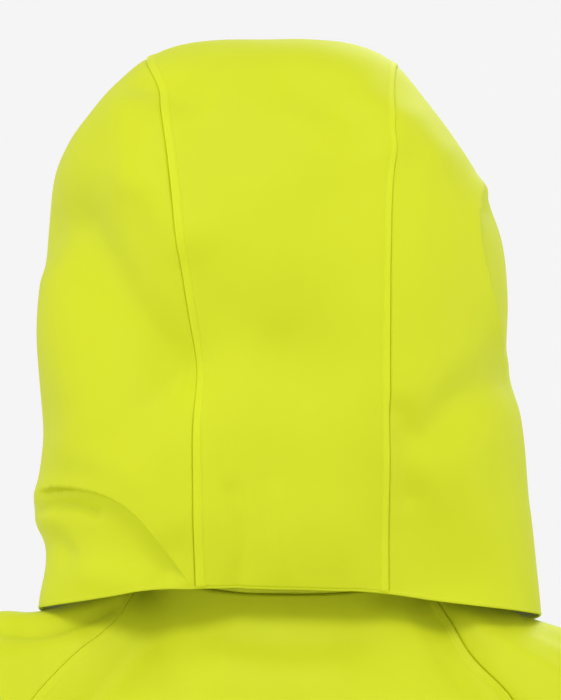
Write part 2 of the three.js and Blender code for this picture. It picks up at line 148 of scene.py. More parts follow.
def distanceTo(path, points):
    # distance to a line of points, the share of its length passed there, and which side (+ is left of it)
    path = np.array(path, float)
    starts, runs = path[:-1], np.diff(path, axis=0)
    lengths = np.linalg.norm(runs, axis=1)
    passed = np.concatenate([[0], np.cumsum(lengths)])
    best = np.full(len(points), np.inf)
    share = np.zeros(len(points))
    side = np.zeros(len(points))
    for start, run, length, before in zip(starts, runs, lengths, passed):
        offset = points - start
        t = np.clip(offset @ run / length**2, 0, 1)
        gap = offset - t[:, None] * run
        away = np.linalg.norm(gap, axis=1)
        nearer = away < best
        best = np.where(nearer, away, best)
        share = np.where(nearer, (before + t * length) / passed[-1], share)
        turn = run[0] * offset[:, 1] - run[1] * offset[:, 0]
        side = np.where(nearer, np.sign(turn), side)
    return best, share, side


def gridMesh(name, points, closedColumns=False, closedRows=False, highlightMask=None):
    # a bmesh grid bent onto rows of points, given in millimetres; a mask marks where the seam strips get a
    # painted highlight
    rows, columns = points.shape[:2]
    bm = bmesh.new()
    bmesh.ops.create_grid(bm, x_segments=columns - 1, y_segments=rows - 1, size=0.5)
    layer = bm.verts.layers.float.new("paintedSeamHighlight")
    for vert in bm.verts:
        column = round((vert.co.x + 0.5) * (columns - 1))
        row = round((vert.co.y + 0.5) * (rows - 1))
        vert.co = Vector(points[row, column]) * mm
        vert[layer] = 0.0 if highlightMask is None else highlightMask[row, column]
    bmesh.ops.remove_doubles(bm, verts=bm.verts, dist=0.00001)
    if closedColumns or closedRows:
        bmesh.ops.dissolve_degenerate(bm, dist=0.00001, edges=bm.edges)
    mesh = bpy.data.meshes.new(name)
    bm.to_mesh(mesh)
    bm.free()
    return mesh


def addPiece(name, mesh, material, body, nodes=(), smooth=True):
    piece = bpy.data.objects.new(name, mesh)
    scene.collection.objects.link(piece)
    for one in material if isinstance(material, (list, tuple)) else [material]:
        mesh.materials.append(one)
    if smooth:
        mesh.shade_smooth()
    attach(piece, body)
    if nodes:
        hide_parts(*nodes)
    return piece


def thicken(piece, thickness, inner=0):
    # cloth with a wall: the outer face stays where it is and the inner face may have its own material
    wall = piece.modifiers.new("wall", "SOLIDIFY")
    wall.thickness = thickness * mm
    wall.offset = -1
    wall.use_even_offset = False
    wall.material_offset = inner
    wall.material_offset_rim = 0
    return piece


def addCloth(name, points, material, body, nodes=(), wall=1.2, closed=False,
             highlightMask=None):
    piece = addPiece(name, gridMesh(name, points, closed, highlightMask=highlightMask), material, body, nodes)
    thicken(piece, wall, 1 if isinstance(material, (list, tuple)) else 0)
    return piece


def gridNormals(points):
    across = np.gradient(points, axis=1)
    up = np.gradient(points, axis=0)
    normal = np.cross(across, up)
    return normal / np.maximum(np.linalg.norm(normal, axis=-1, keepdims=True), 1e-9)


def bandAlong(path, normals, width, lift, crown, columns=7, offset=0.0):
    # a narrow strip of cloth or tape that lies on a surface along a path, rounded down at its edges
    along = np.gradient(path, axis=0)
    along /= np.maximum(np.linalg.norm(along, axis=1, keepdims=True), 1e-9)
    across = np.cross(normals, along)
    across /= np.maximum(np.linalg.norm(across, axis=1, keepdims=True), 1e-9)
    s = np.linspace(-1, 1, columns)
    height = lift + crown * (1 - s**4)
    return (path[:, None] + across[:, None] * (offset + s[None, :, None] * width / 2)
            + normals[:, None] * height[None, :, None])


def tubeAlong(path, radius, sides=10, normals=None):
    # a closed tube around a path
    along = np.gradient(path, axis=0)
    along /= np.maximum(np.linalg.norm(along, axis=1, keepdims=True), 1e-9)
    if normals is None:
        up = np.array([0.0, 0.0, 1.0])
        normals = np.cross(along, np.tile(up, (len(path), 1)))
        bad = np.linalg.norm(normals, axis=1) < 0.1
        normals[bad] = np.cross(along[bad], [1.0, 0.0, 0.0])
    normals = normals / np.linalg.norm(normals, axis=1, keepdims=True)
    other = np.cross(along, normals)
    angle = np.linspace(0, 2 * np.pi, sides + 1)
    ring = np.cos(angle)[None, :, None] * normals[:, None] + np.sin(angle)[None, :, None] * other[:, None]
    radius = np.broadcast_to(radius, (len(path),))[:, None, None]
    tube = path[:, None] + radius * ring
    ends = [np.repeat(path[:1, None], sides + 1, axis=1), np.repeat(path[-1:, None], sides + 1, axis=1)]
    return np.concatenate([ends[0], tube, ends[1]], axis=0)


def stitches(name, path, normals, material, body, pitch=2.8, size=(1.9, 0.42, 0.34), lift=0.1):
    # a row of small thread stitches lying on the cloth
    count = max(int(np.linalg.norm(np.diff(path, axis=0), axis=1).sum() / pitch), 2)
    spots = evenly(path, count + 1)
    ups = evenly(path + normals, count + 1) - spots
    bm = bmesh.new()
    for start, end, up in zip(spots[:-1], spots[1:], ups[:-1]):
        run = Vector(end - start).normalized()
        out = Vector(up).normalized()
        side = out.cross(run).normalized()
        out = run.cross(side)
        turn = Matrix((run * size[0] / 2, side * size[1] / 2, out * size[2] / 2)).transposed().to_4x4()
        seat = Matrix.Translation(Vector((start + end) / 2) * mm + out * lift * mm)
        place = seat @ Matrix.Scale(mm, 4) @ turn
        bmesh.ops.create_icosphere(bm, subdivisions=1, radius=1, matrix=place)
    mesh = bpy.data.meshes.new(name)
    bm.to_mesh(mesh)
    bm.free()
    return addPiece(name, mesh, material, body)


# The hood's outer surface: level rings that lean to the wearer's left as they rise, under a flat crown
hood = {
    "top": 357.3,
    "domeStart": 120,
    "domePower": 3.5,
    "middle": (8.0, -10.0, 150.0),
    "lean": profile((0, 0), (25, -0.5), (50, 4), (63, 5), (102, 4.5), (154, 8.5), (192, 8.3), (231, 10.6),
                    (257, 13.5),
                    (283, 17),
                    (296, 18), (321, 17), (347, 15), (360, 13)),
    "half": profile((-12, 162), (0, 161), (25, 157.5), (50, 159.5), (63, 158.7), (102, 154.3), (128, 153.5),
                    (154, 152), (231, 151), (270, 145.5), (296, 139), (321, 131), (340, 132), (352, 141),
                    (358, 165)),
    "back": profile((-12, 98), (5, 101), (60, 122), (120, 140), (200, 147), (360, 150)),
    "front": profile((-45, 122), (0, 127), (60, 142), (120, 158), (250, 165), (360, 160)),
    "frontPower": profile((-45, 1.6), (60, 1.8), (150, 2.3)),
    "backPower": 2.4,
    "hem": profile((-127, -38), (-60, -18), (-40, -4), (0, 2), (40, 3), (98, 6.5)),
    "droop": profile((-165, -12.7), (-135, -12), (-113, -11), (-90, -9.5), (-68, -7), (-45, -4.6),
                     (-23, -3.6),
                     (0, -2.6), (88, -2.6), (113, -5.8), (135, -7.7), (165, -8.6)),
    "face": {"wide": 98, "middleZ": 150, "tall": 112, "chin": (52, -36), "cheek": (60, 10)},
}


def hoodField(p):
    x, y, z = p[..., 0], p[..., 1], p[..., 2]
    rise = np.clip((z - hood["domeStart"]) / (hood["top"] - hood["domeStart"]), 0, 0.99999)
    closing = (1 - rise ** hood["domePower"]) ** (1 / hood["domePower"])
    wide = hood["half"](z) * closing
    deep = np.where(y > 0, hood["back"](z), hood["front"](z)) * closing
    power = np.where(y > 0, hood["backPower"], hood["frontPower"](z))
    ring = np.abs((x - hood["lean"](z)) / wide) ** power + np.abs(y / deep) ** power
    return np.where(z >= hood["top"], 1.0, ring ** (1 / power) - 1)


def hoodHem(x, y):
    return hood["hem"](y) + hood["droop"](x) * smoothStep(-100, -20, y)


def ontoHood(points):
    # from the hood's axis below its middle, and from its middle above
    shape = points.shape
    flat = points.reshape(-1, 3)
    centre = np.tile(np.array(hood["middle"]), (len(flat), 1))
    low = np.minimum(flat[:, 2], centre[:, 2])
    centre[:, 2] = low
    away = flat - centre
    away /= np.maximum(np.linalg.norm(away, axis=1, keepdims=True), 1e-9)
    return rootBetween(hoodField, centre, centre + away * 400).reshape(shape)


def hoodSeamPath(seam, frontX, count, endZ):
    # from the hem at the back, over the crown and down to the edge of the face opening
    seamX = profile(*seam)
    start = -0.95
    angles = np.linspace(start, math.pi - 0.02, 260)
    x = np.full(len(angles), float(seam[0][1]))
    centre = np.array(hood["middle"])
    for _ in range(14):
        inside = np.stack([x, np.full_like(x, centre[1]), np.full_like(x, centre[2])], axis=1)
        away = np.stack([np.zeros_like(x), np.cos(angles), np.sin(angles)], axis=1)
        found = rootBetween(hoodField, inside, inside + away * 420)
        back = np.clip((found[:, 1] + 60) / 120, 0, 1)
        wanted = seamX(found[:, 2]) * back + frontX * (1 - back)
        x = x + 0.6 * (wanted - x)
    low = found[:, 2] >= hoodHem(found[:, 0], found[:, 1])
    front = (found[:, 1] < 0) & (found[:, 2] < endZ)
    kept = found[low & ~front]
    foot = kept[0].copy()
    foot[2] = hoodHem(foot[0], foot[1])
    return evenly(np.concatenate([ontoHood(foot[None]), kept]), count)


def hoodHemPath(foot, endAngle, count):
    # from the foot of a seam at the back, around the side, to the foot of the face opening
    side = np.sign(foot[0])
    angles = np.linspace(math.atan2(foot[1], side * (foot[0] - hood["lean"](foot[2]))), endAngle, 160)
    z = np.full(len(angles), 4.0)
    for _ in range(12):
        centre = np.stack([hood["lean"](z), np.zeros_like(z), z], axis=1)
        away = np.stack([side * np.cos(angles), np.sin(angles), np.zeros_like(z)], axis=1)
        found = rootBetween(hoodField, centre, centre + away * 300)
        z = z + 0.7 * (hoodHem(found[:, 0], found[:, 1]) - z)
    return evenly(found, count)


def faceEdgePath(side, fromX, count):
    # the edge of the face opening, from a place on its arch down to the chin
    face = hood["face"]
    start = math.acos(min(abs(fromX) / face["wide"], 1))
    angles = np.linspace(math.pi / 2 - (math.pi / 2 - start), 0, 40)
    arch = np.stack([face["wide"] * np.cos(angles), face["middleZ"] + face["tall"] * np.sin(angles)],
                    axis=1)
    cheek = curveThrough([arch[-1], (90, 100), (72, 45), face["cheek"], face["chin"]], 60)
    line = np.concatenate([arch, cheek[1:]])
    return onHoodFront(side * line[:, 0], line[:, 1], count)


def onHoodFront(x, z, count):
    inside = np.stack([x, np.zeros_like(x), z], axis=1)
    outside = inside - np.array([0, 320.0, 0])
    return evenly(rootBetween(hoodField, inside, outside), count)


def faceArchPath(leftX, rightX, count):
    face = hood["face"]
    x = np.linspace(leftX, rightX, 80)
    z = face["middleZ"] + face["tall"] * np.sqrt(np.maximum(1 - (x / face["wide"]) ** 2, 0))
    return onHoodFront(x, z, count)


hoodSeams = {
    "left": ((-10, 59), (8, 59), (98, 62), (175, 67), (233, 71), (276, 77), (319, 85), (340, 92)),
    "right": ((-10, -63), (8, -63), (98, -63.5), (233, -64), (271, -65), (291, -63), (340, -68)),
    "frontLeft": 92.0,
    "frontRight": -72.0,
    "brimY": -96.0,
}

# Folds of the worn hood, seen from behind: where each runs as (x, z), how wide it is, and how far it stands
# proud (+) or sinks (-). A sharp fold also drops on one side of its crease.
hoodFolds = [
    {"path": [(140, 232), (122, 200), (102, 164), (80, 134)], "wide": 24, "height": -17.0},
    {"path": [(158, 200), (146, 150), (130, 110)], "wide": 16, "height": 4.8},
    {"path": [(104, 306), (96, 282), (90, 262)], "wide": 16, "height": 5.1},
    {"path": [(98, 258), (82, 244), (66, 222)], "wide": 17, "height": 7.5},
    {"path": [(66, 148), (30, 156), (-12, 146)], "wide": 40, "height": -14.0},
    {"path": [(20, 250), (14, 205), (12, 175)], "wide": 17, "height": 3.4},
    {"path": [(-2, 318), (-20, 312), (-40, 300)], "wide": 17, "height": -7.4},
    {"path": [(92, 322), (78, 318), (68, 312)], "wide": 11, "height": -5.4},
    {"path": [(-50, 306), (-58, 290), (-62, 280)], "wide": 13, "height": 5.8},
    {"path": [(-74, 296), (-90, 276)], "wide": 14, "height": 4.8},
    {"path": [(-30, 240), (-42, 200)], "wide": 24, "height": -3.8},
    {"path": [(40, 34), (14, 26), (-20, 34)], "wide": 34, "height": 5.1},
    {"path": [(36, 62), (30, 28), (34, 6)], "wide": 7, "height": -2.4},
    {"path": [(8, 60), (4, 16)], "wide": 8, "height": 1.7},
    {"path": [(162, 66), (140, 67), (112, 60), (90, 45), (74, 24), (63, 8)], "wide": 8, "height": 2.2,
     "drop": 4.6, "dropWide": 26},
    {"path": [(136, 90), (118, 84), (94, 68), (78, 46)], "wide": 17, "height": 5.4},
    {"path": [(160, 56), (140, 56), (124, 50)], "wide": 4, "height": -3.1},
    {"path": [(124, 14), (110, 9), (94, 4)], "wide": 14, "height": 4.5},
    {"path": [(168, 38), (150, 34), (142, 26)], "wide": 7, "height": -3.4},
    {"path": [(-84, 34), (-96, 10)], "wide": 34, "height": -9.6},
    {"path": [(-70, 110), (-76, 60)], "wide": 10, "height": -3.8},
    {"path": [(-88, 98), (-110, 120), (-142, 144)], "wide": 17, "height": -9.0},
    {"path": [(-144, 150), (-136, 166), (-126, 198), (-120, 232), (-123, 262)], "wide": 6.5, "height": 2.2,
     "drop": 8.0, "dropWide": 22},
]


def foldHeight(points, folds, ends=0.12):
    total = np.zeros(len(points))
    place = points[:, [0, 2]]
    for fold in folds:
        path = curveThrough(fold["path"], 24) if len(fold["path"]) > 2 else np.array(fold["path"], float)
        away, share, side = distanceTo(path, place)
        total += fold["height"] * np.exp(-((away / fold["wide"]) ** 2))
        if "drop" in fold:
            fade = smoothStep(0, ends, share) * smoothStep(0, ends, 1 - share)
            outer = side > 0
            total -= np.where(outer, fold["drop"] * fade * np.exp(-((away / fold["dropWide"]) ** 2)), 0)
    return total


def softNoise(points, size, seed):
    # smooth bumps about one size across, from -1 to 1
    return np.array([noise.noise(Vector(p) / size + Vector((seed, 2 * seed, 0))) for p in points])


def drapeHood(points, added):
    # lays the folds on the hood's sheet, and adds the relief of its seams
    shape = points.shape
    flat = points.reshape(-1, 3)
    normal = outward(hoodField, flat)
    back = smoothStep(-30, 40, flat[:, 1])
    height = back * foldHeight(flat, hoodFolds)
    stretched = flat * np.array([1.0, 1.0, 0.45])
    height += softNoise(stretched, 46, 3.0) * (0.9 + 1.6 * (1 - back))
    height += softNoise(stretched, 22, 9.0) * (0.25 + 0.8 * (1 - back))
    flat = flat + normal * (height + added.reshape(-1))[:, None]
    return flat.reshape(shape), normal.reshape(shape)


seam = {"strip": 5.6, "raise": 0.75, "groove": 0.85, "stitchIn": 4.7}
seamColumns = [0, 0.35, 0.8, 1.3, 2.6, 4.2, 5.2, 5.7, 6.2, 7.2, 8.6]


def refineRows(sheet, startColumns, endColumns, pitch):
    # the same rows with columns at set distances from both edges and an even pitch between them
    start, end = np.array(startColumns, float), np.array(endColumns, float)[::-1]
    lengths = np.linalg.norm(np.diff(sheet, axis=1), axis=2).sum(axis=1)
    taken = start[-1] + end[0]
    count = max(int((lengths.max() - taken) / pitch), 4)
    made = []
    gaps = []
    for row, length in zip(sheet, lengths):
        along = np.concatenate([[0], np.cumsum(np.linalg.norm(np.diff(row, axis=0), axis=1))])
        fit = min(1.0, length / (2.5 * taken)) if taken > 0 else 1.0
        first, last = start * fit, length - end * fit
        middle = np.linspace(first[-1], last[0], count + 1)[1:-1]
        wanted = np.concatenate([first, middle, last])
        made.append(np.stack([np.interp(wanted, along, row[:, k]) for k in range(3)], axis=1))
        gaps.append(np.stack([wanted, length - wanted], axis=1))
    return np.array(made), np.array(gaps)


def stripHeight(gap):
    # the doubled strip of cloth beside a topstitched seam, with the stitching pressed into it
    edge = smoothStep(0, 1.0, gap) - smoothStep(seam["strip"] - 0.3, seam["strip"] + 0.5, gap)
    pressed = 0.35 * np.exp(-(((gap - seam["stitchIn"]) / 0.7) ** 2))
    return seam["raise"] * edge - pressed - seam["groove"] * np.exp(-((gap / 0.55) ** 2))


# where the seam strips get a painted highlight: lighter base colour along the raised strips beside the
# seams
def seamHighlightMask(gap):
    return smoothStep(0.4, 0.9, gap) - smoothStep(seam["strip"] - 0.1, seam["strip"] + 0.4, gap)


def grooveHeight(gap):
    return -seam["groove"] * np.exp(-((gap / 0.9) ** 2))


hoodPitch = {"across": 2.5, "rows": 300, "sideColumns": 118, "middleColumns": 90}


def makeHood(finishes):
    shell = [finishes["shell"], finishes["lining"]]
    face = hood["face"]
    seams = {}
    for side, frontX in (("left", hoodSeams["frontLeft"]), ("right", hoodSeams["frontRight"])):
        reach = math.sqrt(max(1 - (frontX / face["wide"]) ** 2, 0))
        seams[side] = hoodSeamPath(hoodSeams[side], frontX, hoodPitch["rows"],
                                   face["middleZ"] + face["tall"] * reach)
    edges = {"seams": seams}
    for side, sign in (("left", 1), ("right", -1)):
        path = seams[side]
        hem = hoodHemPath(path[0], -math.pi / 2 + 0.42, hoodPitch["rows"])
        edge = faceEdgePath(sign, path[-1, 0], hoodPitch["sideColumns"])
        hem[0], edge[0], hem[-1] = path[0], path[-1], edge[-1]
        start = np.repeat(path[:1], hoodPitch["sideColumns"], axis=0)
        sheet = ontoHood(patchBetween(path, hem, start, edge))
        sheet[0], sheet[-1], sheet[:, -1] = path, hem, edge
        turned, gaps = refineRows(sheet.transpose(1, 0, 2), seamColumns[:4] + [2.2], [0],
                                  hoodPitch["across"])
        sheet, _ = drapeHood(turned, grooveHeight(gaps[..., 0]))
        if sign > 0:
            sheet = sheet[:, ::-1]
        addCloth(f"hoodSide_{side}", sheet, shell, "hood", [f"hood_side_panel_{side}"])
        edges[side] = {"hem": hem, "edge": edge}
    left, right = seams["left"], seams["right"]
    count = hoodPitch["middleColumns"]
    hemRow = ontoHood(np.linspace(left[0], right[0], count))
    hemRow[:, 2] = hoodHem(hemRow[:, 0], hemRow[:, 1])
    archRow = faceArchPath(left[-1, 0], right[-1, 0], count)
    archRow[0], archRow[-1] = left[-1], right[-1]
    sheet = ontoHood(patchBetween(hemRow, archRow, left, right))
    sheet[0], sheet[-1], sheet[:, 0], sheet[:, -1] = hemRow, archRow, left, right
    sheet, gaps = refineRows(sheet, seamColumns, seamColumns, 1.9)
    height = stripHeight(gaps[..., 0]) + stripHeight(gaps[..., 1])
    brimRow = int(np.argmax(left[:, 1] < hoodSeams["brimY"]))
    fromBrim = np.abs(np.arange(len(sheet)) - brimRow)[:, None] * 2.0
    height = height + grooveHeight(fromBrim + 0 * height) * 0.7
    sheet, normals = drapeHood(sheet, height)
    # where the strips beside the hood seams get a painted highlight
    highlightMask = seamHighlightMask(gaps[..., 0]) + seamHighlightMask(gaps[..., 1])
    addCloth("hoodCentre", sheet[:brimRow + 1], shell, "hood", ["hood_centre_panel"],
             highlightMask=highlightMask[:brimRow + 1])
    addCloth("hoodBrim", sheet[brimRow:], shell, "hood", ["hood_brim"], 1.6,
             highlightMask=highlightMask[brimRow:])
    for side, column in (("left", 6), ("right", -7)):
        stitches(f"seamStitches_{side}", sheet[4:brimRow, column], normals[4:brimRow, column],
                 finishes["thread"],
                 "hood", 2.6, (1.9, 0.34, 0.3), -0.12)
    edges["centre"] = {"hem": hemRow, "arch": archRow}
    return edges


def alongHoodEdge(parts, key, centreKey):
    # the whole hem or face edge in one line, from the wearer's left around to the right
    middle = parts["centre"][centreKey]
    return np.concatenate([parts["left"][key][::-1], middle[1:-1], parts["right"][key]])


def makeHoodTrim(finishes, parts):
    hem = evenly(alongHoodEdge(parts, "hem", "hem"), 420)
    draped, normals = drapeHood(hem[:, None], np.zeros((len(hem), 1)))
    hem, normals = draped[:, 0], normals[:, 0]
    lip = tubeAlong(hem - normals * 0.9 + np.array([0, 0, 0.2]), 1.15, 10, normals)
    addPiece("hoodHemLip", gridMesh("hoodHemLip", lip, True), finishes["trim"], "hood")
    bare = evenly(alongHoodEdge(parts, "hem", "hem"), 420)[:, None]
    rise = np.linspace(0.4, 19, 9)[None, :, None] * np.array([0, 0, 1.0])
    inner, inward = drapeHood(ontoHood(bare + rise), np.zeros((len(bare), 9)))
    facing = (inner - inward * 2.1).transpose(1, 0, 2)
    addCloth("hemFacing", facing[:, ::-1][:, 12:-12], finishes["lining"], "hood",
             ["hood_hem_facing"], 0.6)
    face = evenly(alongHoodEdge(parts, "edge", "arch"), 360)
    draped, normals = drapeHood(face[:, None], np.zeros((len(face), 1)))
    face, normals = draped[:, 0], normals[:, 0]
    along = np.gradient(face, axis=0)
    along /= np.linalg.norm(along, axis=1, keepdims=True)
    away = np.cross(normals, along)
    middle = np.array([0, -140.0, 150.0])
    away *= np.sign(np.sum(away * (face - middle), axis=1, keepdims=True))
    section = [(9.5, 0.35), (9.0, 0.9), (7.5, 1.3), (4.5, 1.5), (1.0, 1.35), (-1.2, 0.6), (-2.0, -0.9),
               (-1.2, -2.4), (1.0, -3.0), (5.0, -3.0), (8.5, -2.8)]
    binding = np.stack([face + away * a + normals * h for a, h in section], axis=0)
    addCloth("faceBinding", binding, [finishes["trim"], finishes["lining"]], "hood",
             ["hood_face_binding"], 0.7)
    line = face + away * 8.2 + normals * 1.25
    stitches("bindingStitches", line, normals, finishes["thread"], "hood", 3.0,
             (2.1, 0.4, 0.36), 0.0)
    for side in ("left", "right"):
        path = parts["seams"][side][8:-40]
        strip = bandAlong(path, outward(hoodField, path), 20, 0, 0, 13)
        strip, inward = drapeHood(ontoHood(strip), np.zeros(strip.shape[:2]))
        strip = strip - inward * 2.4
        addCloth(f"seamTape_{side}", strip[:, ::-1], finishes["lining"], "hood",
                 [f"hood_seam_tape_{side}"], 0.4)


# Materials


def nodeGroup(name, inputs, outputs):
    tree = bpy.data.node_groups.new(name, "ShaderNodeTree")
    for socketName, kind, value in inputs:
        made = tree.interface.new_socket(socketName, in_out="INPUT", socket_type=kind)
        made.default_value = value
    for socketName, kind in outputs:
        tree.interface.new_socket(socketName, in_out="OUTPUT", socket_type=kind)
    return tree, tree.nodes.new("NodeGroupInput"), tree.nodes.new("NodeGroupOutput")


def addNode(tree, kind, settings=None, **values):
    node = tree.nodes.new(kind)
    for key, value in (settings or {}).items():
        setattr(node, key, value)
    for key, value in values.items():
        node.inputs[key.replace("_", " ")].default_value = value
    return node


def link(tree, start, end):
    tree.links.new(start, end)


def mathNode(tree, operation, first, second=None):
    node = tree.nodes.new("ShaderNodeMath")
    node.operation = operation
    for slotNumber, value in enumerate((first, second)):
        if value is None:
            continue
        if hasattr(value, "links"):
            tree.links.new(value, node.inputs[slotNumber])
        else:
            node.inputs[slotNumber].default_value = value
    return node.outputs[0]


def makeWeaveGroup():
    # fine plain weave with a slight slub, as a height and a mask of its variation
    tree, start, end = nodeGroup(
        "fineWeave",
        [("Vector", "NodeSocketVector", (0, 0, 0)), ("Threads per metre", "NodeSocketFloat", 1600.0),
         ("Slub", "NodeSocketFloat", 0.4)],
        [("Height", "NodeSocketFloat"), ("Tone", "NodeSocketFloat")])
    split = addNode(tree, "ShaderNodeSeparateXYZ")
    link(tree, start.outputs["Vector"], split.inputs[0])
    turned = mathNode(tree, "ADD", split.outputs["X"], split.outputs["Y"])
    waves = []
    for axis in (turned, split.outputs["Z"]):
        scaled = mathNode(tree, "MULTIPLY", axis, start.outputs["Threads per metre"])
        waves.append(mathNode(tree, "SINE", mathNode(tree, "MULTIPLY", scaled, 2 * math.pi)))
    weave = mathNode(tree, "MULTIPLY", waves[0], waves[1])
    slub = addNode(tree, "ShaderNodeTexNoise", Scale=380.0, Detail=2.0)
    link(tree, start.outputs["Vector"], slub.inputs["Vector"])
    rough = mathNode(tree, "MULTIPLY", slub.outputs["Fac"], start.outputs["Slub"])
    link(tree, mathNode(tree, "ADD", mathNode(tree, "MULTIPLY", weave, 0.25), rough), end.inputs["Height"])
    cloud = addNode(tree, "ShaderNodeTexNoise", Scale=9.0, Detail=3.0, Roughness=0.55)
    link(tree, start.outputs["Vector"], cloud.inputs["Vector"])
    link(tree, cloud.outputs["Fac"], end.inputs["Tone"])
    return tree


def clothMaterial(name, weave, colour, shade, roughness=0.62, threads=1600.0, bump=0.12, paintedSeamHighlight=0.0):
    material = bpy.data.materials.new(name)
    material.use_nodes = True
    tree = material.node_tree
    shader = tree.nodes["Principled BSDF"]
    shader.inputs["Roughness"].default_value = roughness
    shader.inputs["Specular IOR Level"].default_value = 0.28
    place = addNode(tree, "ShaderNodeTexCoord")
    group = tree.nodes.new("ShaderNodeGroup")
    group.node_tree = weave
    group.inputs["Threads per metre"].default_value = threads
    link(tree, place.outputs["Object"], group.inputs["Vector"])
    mix = addNode(tree, "ShaderNodeMix", {"data_type": "RGBA"})
    mix.inputs["A"].default_value = (*shade, 1)
    mix.inputs["B"].default_value = (*colour, 1)
    ramp = addNode(tree, "ShaderNodeMapRange")
    ramp.inputs["From Min"].default_value = 0.36
    ramp.inputs["From Max"].default_value = 0.62
    link(tree, group.outputs["Tone"], ramp.inputs["Value"])
    link(tree, ramp.outputs["Result"], mix.inputs["Factor"])
    tone = mix.outputs["Result"]
    # painted highlight: the base colour is made lighter on the seam strips that the mesh attribute marks
    if paintedSeamHighlight:
        highlighted = addNode(tree, "ShaderNodeMix", {"data_type": "RGBA"})
        highlighted.inputs["B"].default_value = (*[min(c * (1 + paintedSeamHighlight), 0.96) for c in colour], 1)
        highlightAt = addNode(tree, "ShaderNodeAttribute", {"attribute_name": "paintedSeamHighlight"})
        link(tree, tone, highlighted.inputs["A"])
        link(tree, highlightAt.outputs["Fac"], highlighted.inputs["Factor"])
        tone = highlighted.outputs["Result"]
    link(tree, tone, shader.inputs["Base Color"])
    relief = addNode(tree, "ShaderNodeBump", Strength=bump, Distance=0.0002)
    link(tree, group.outputs["Height"], relief.inputs["Height"])
    link(tree, relief.outputs["Normal"], shader.inputs["Normal"])
    return material


def hardMaterial(name, colour, roughness, metallic=0.0, scale=260.0):
    material = bpy.data.materials.new(name)
    material.use_nodes = True
    tree = material.node_tree
    shader = tree.nodes["Principled BSDF"]
    shader.inputs["Metallic"].default_value = metallic
    place = addNode(tree, "ShaderNodeTexCoord")
    grain = addNode(tree, "ShaderNodeTexNoise", Scale=scale, Detail=3.0)
    link(tree, place.outputs["Object"], grain.inputs["Vector"])
    mix = addNode(tree, "ShaderNodeMix", {"data_type": "RGBA"})
    mix.inputs["A"].default_value = (*[c * 0.75 for c in colour], 1)
    mix.inputs["B"].default_value = (*colour, 1)
    link(tree, grain.outputs["Fac"], mix.inputs["Factor"])
    link(tree, mix.outputs["Result"], shader.inputs["Base Color"])
    rough = addNode(tree, "ShaderNodeMapRange")
    rough.inputs["To Min"].default_value = roughness - 0.08
    rough.inputs["To Max"].default_value = roughness + 0.1
    link(tree, grain.outputs["Fac"], rough.inputs["Value"])
    link(tree, rough.outputs["Result"], shader.inputs["Roughness"])
    relief = addNode(tree, "ShaderNodeBump", Strength=0.08, Distance=0.0002)
    link(tree, grain.outputs["Fac"], relief.inputs["Height"])
    link(tree, relief.outputs["Normal"], shader.inputs["Normal"])
    return material


def makeFinishes():
    weave = makeWeaveGroup()
    return {
        # the shell's seam strips get a painted highlight, 4% lighter than the cloth
        "shell": clothMaterial("shellCloth", weave, (0.672, 0.742, 0.0125), (0.648, 0.718, 0.011),
                               paintedSeamHighlight=0.04),
        "lining": clothMaterial("liningCloth", weave, (0.60, 0.62, 0.57), (0.54, 0.56, 0.52), 0.7, 1100.0,
                                0.2),
        "trim": clothMaterial("foldedTrim", weave, (0.665, 0.735, 0.016), (0.64, 0.71, 0.014), 0.6),
        "zipTape": clothMaterial("zipTape", weave, (0.62, 0.70, 0.04), (0.55, 0.63, 0.035), 0.75, 900.0,
                                 0.5),
        "thread": clothMaterial("thread", weave, (0.70, 0.78, 0.04), (0.62, 0.70, 0.03), 0.55, 3000.0, 0.3),
        "loop": clothMaterial("loopFleece", weave, (0.55, 0.63, 0.05), (0.42, 0.49, 0.04), 0.95, 500.0,
                              1.0),
        "coil": hardMaterial("zipCoil", (0.55, 0.64, 0.04), 0.38),
        "metal": hardMaterial("sliderMetal", (0.46, 0.47, 0.46), 0.3, 1.0),
        "plastic": hardMaterial("blackPlastic", (0.022, 0.024, 0.024), 0.42),
    }


# The body: a torso and a stump for each arm, joined smoothly, and the lines of the seams on it
body = {
    "half": profile((-760, 211), (-500, 205), (-250, 204), (-150, 190), (-80, 156), (-30, 112), (0, 92),
                    (80, 84)),
    "back": profile((-760, 138), (-500, 130), (-230, 143), (-140, 135), (-70, 112), (-25, 90), (0, 76),
                    (80, 70)),
    "stumpTopLeft": profile((60, 14), (100, 13), (135, -1), (152, -7), (166, -9.5), (187, -10.5),
                            (212, -26)),
    "stumpTopRight": profile((60, 14), (100, 12), (135, -5), (163, -15), (174, -18.5), (190, -22),
                             (212, -26)),
    "stumpBottom": profile((60, -110), (140, -150), (212, -218)),
    "power": 2.4,
    "blend": 9.0,
    "neck": profile((-106, -62), (-50, -8), (0, 20), (40, 14), (76, 0)),
    "collar": profile((-104, 48), (0, 66), (70, 62)),
    "hemZ": -760.0,
    "bandTop": -730.0,
    "sideY": 5.0,
    "armpitZ": -250.0,
    "armhole": (212.6, 5.0, -122.0, 96.0),
    "zipRoom": 9.0,
}
raglan = {
    "backLeft": ((80, 60), (84, 24), (99, 2), (111, -16), (144, -45), (170, -78), (190, -130), (201, -200)),
    "backRight": ((64, 60), (72, 20), (97, -6), (115, -37), (138, -63), (168, -112), (190, -165),
                  (201, -205)),
    "front": ((64, 60), (72, -6), (104, -46), (134, -88), (168, -136), (192, -185)),
}


def frontY(z):
    return -104 - (35 - z) * 0.0453


def torsoGap(p):
    x, y, z = p[..., 0], p[..., 1], p[..., 2]
    deep = np.where(y > 0, body["back"](z), -frontY(z))
    power = body["power"]
    ring = (np.abs(x / body["half"](z)) ** power + np.abs(y / deep) ** power) ** (1 / power)
    return np.hypot(x, y) * (1 - 1 / np.maximum(ring, 1e-6))


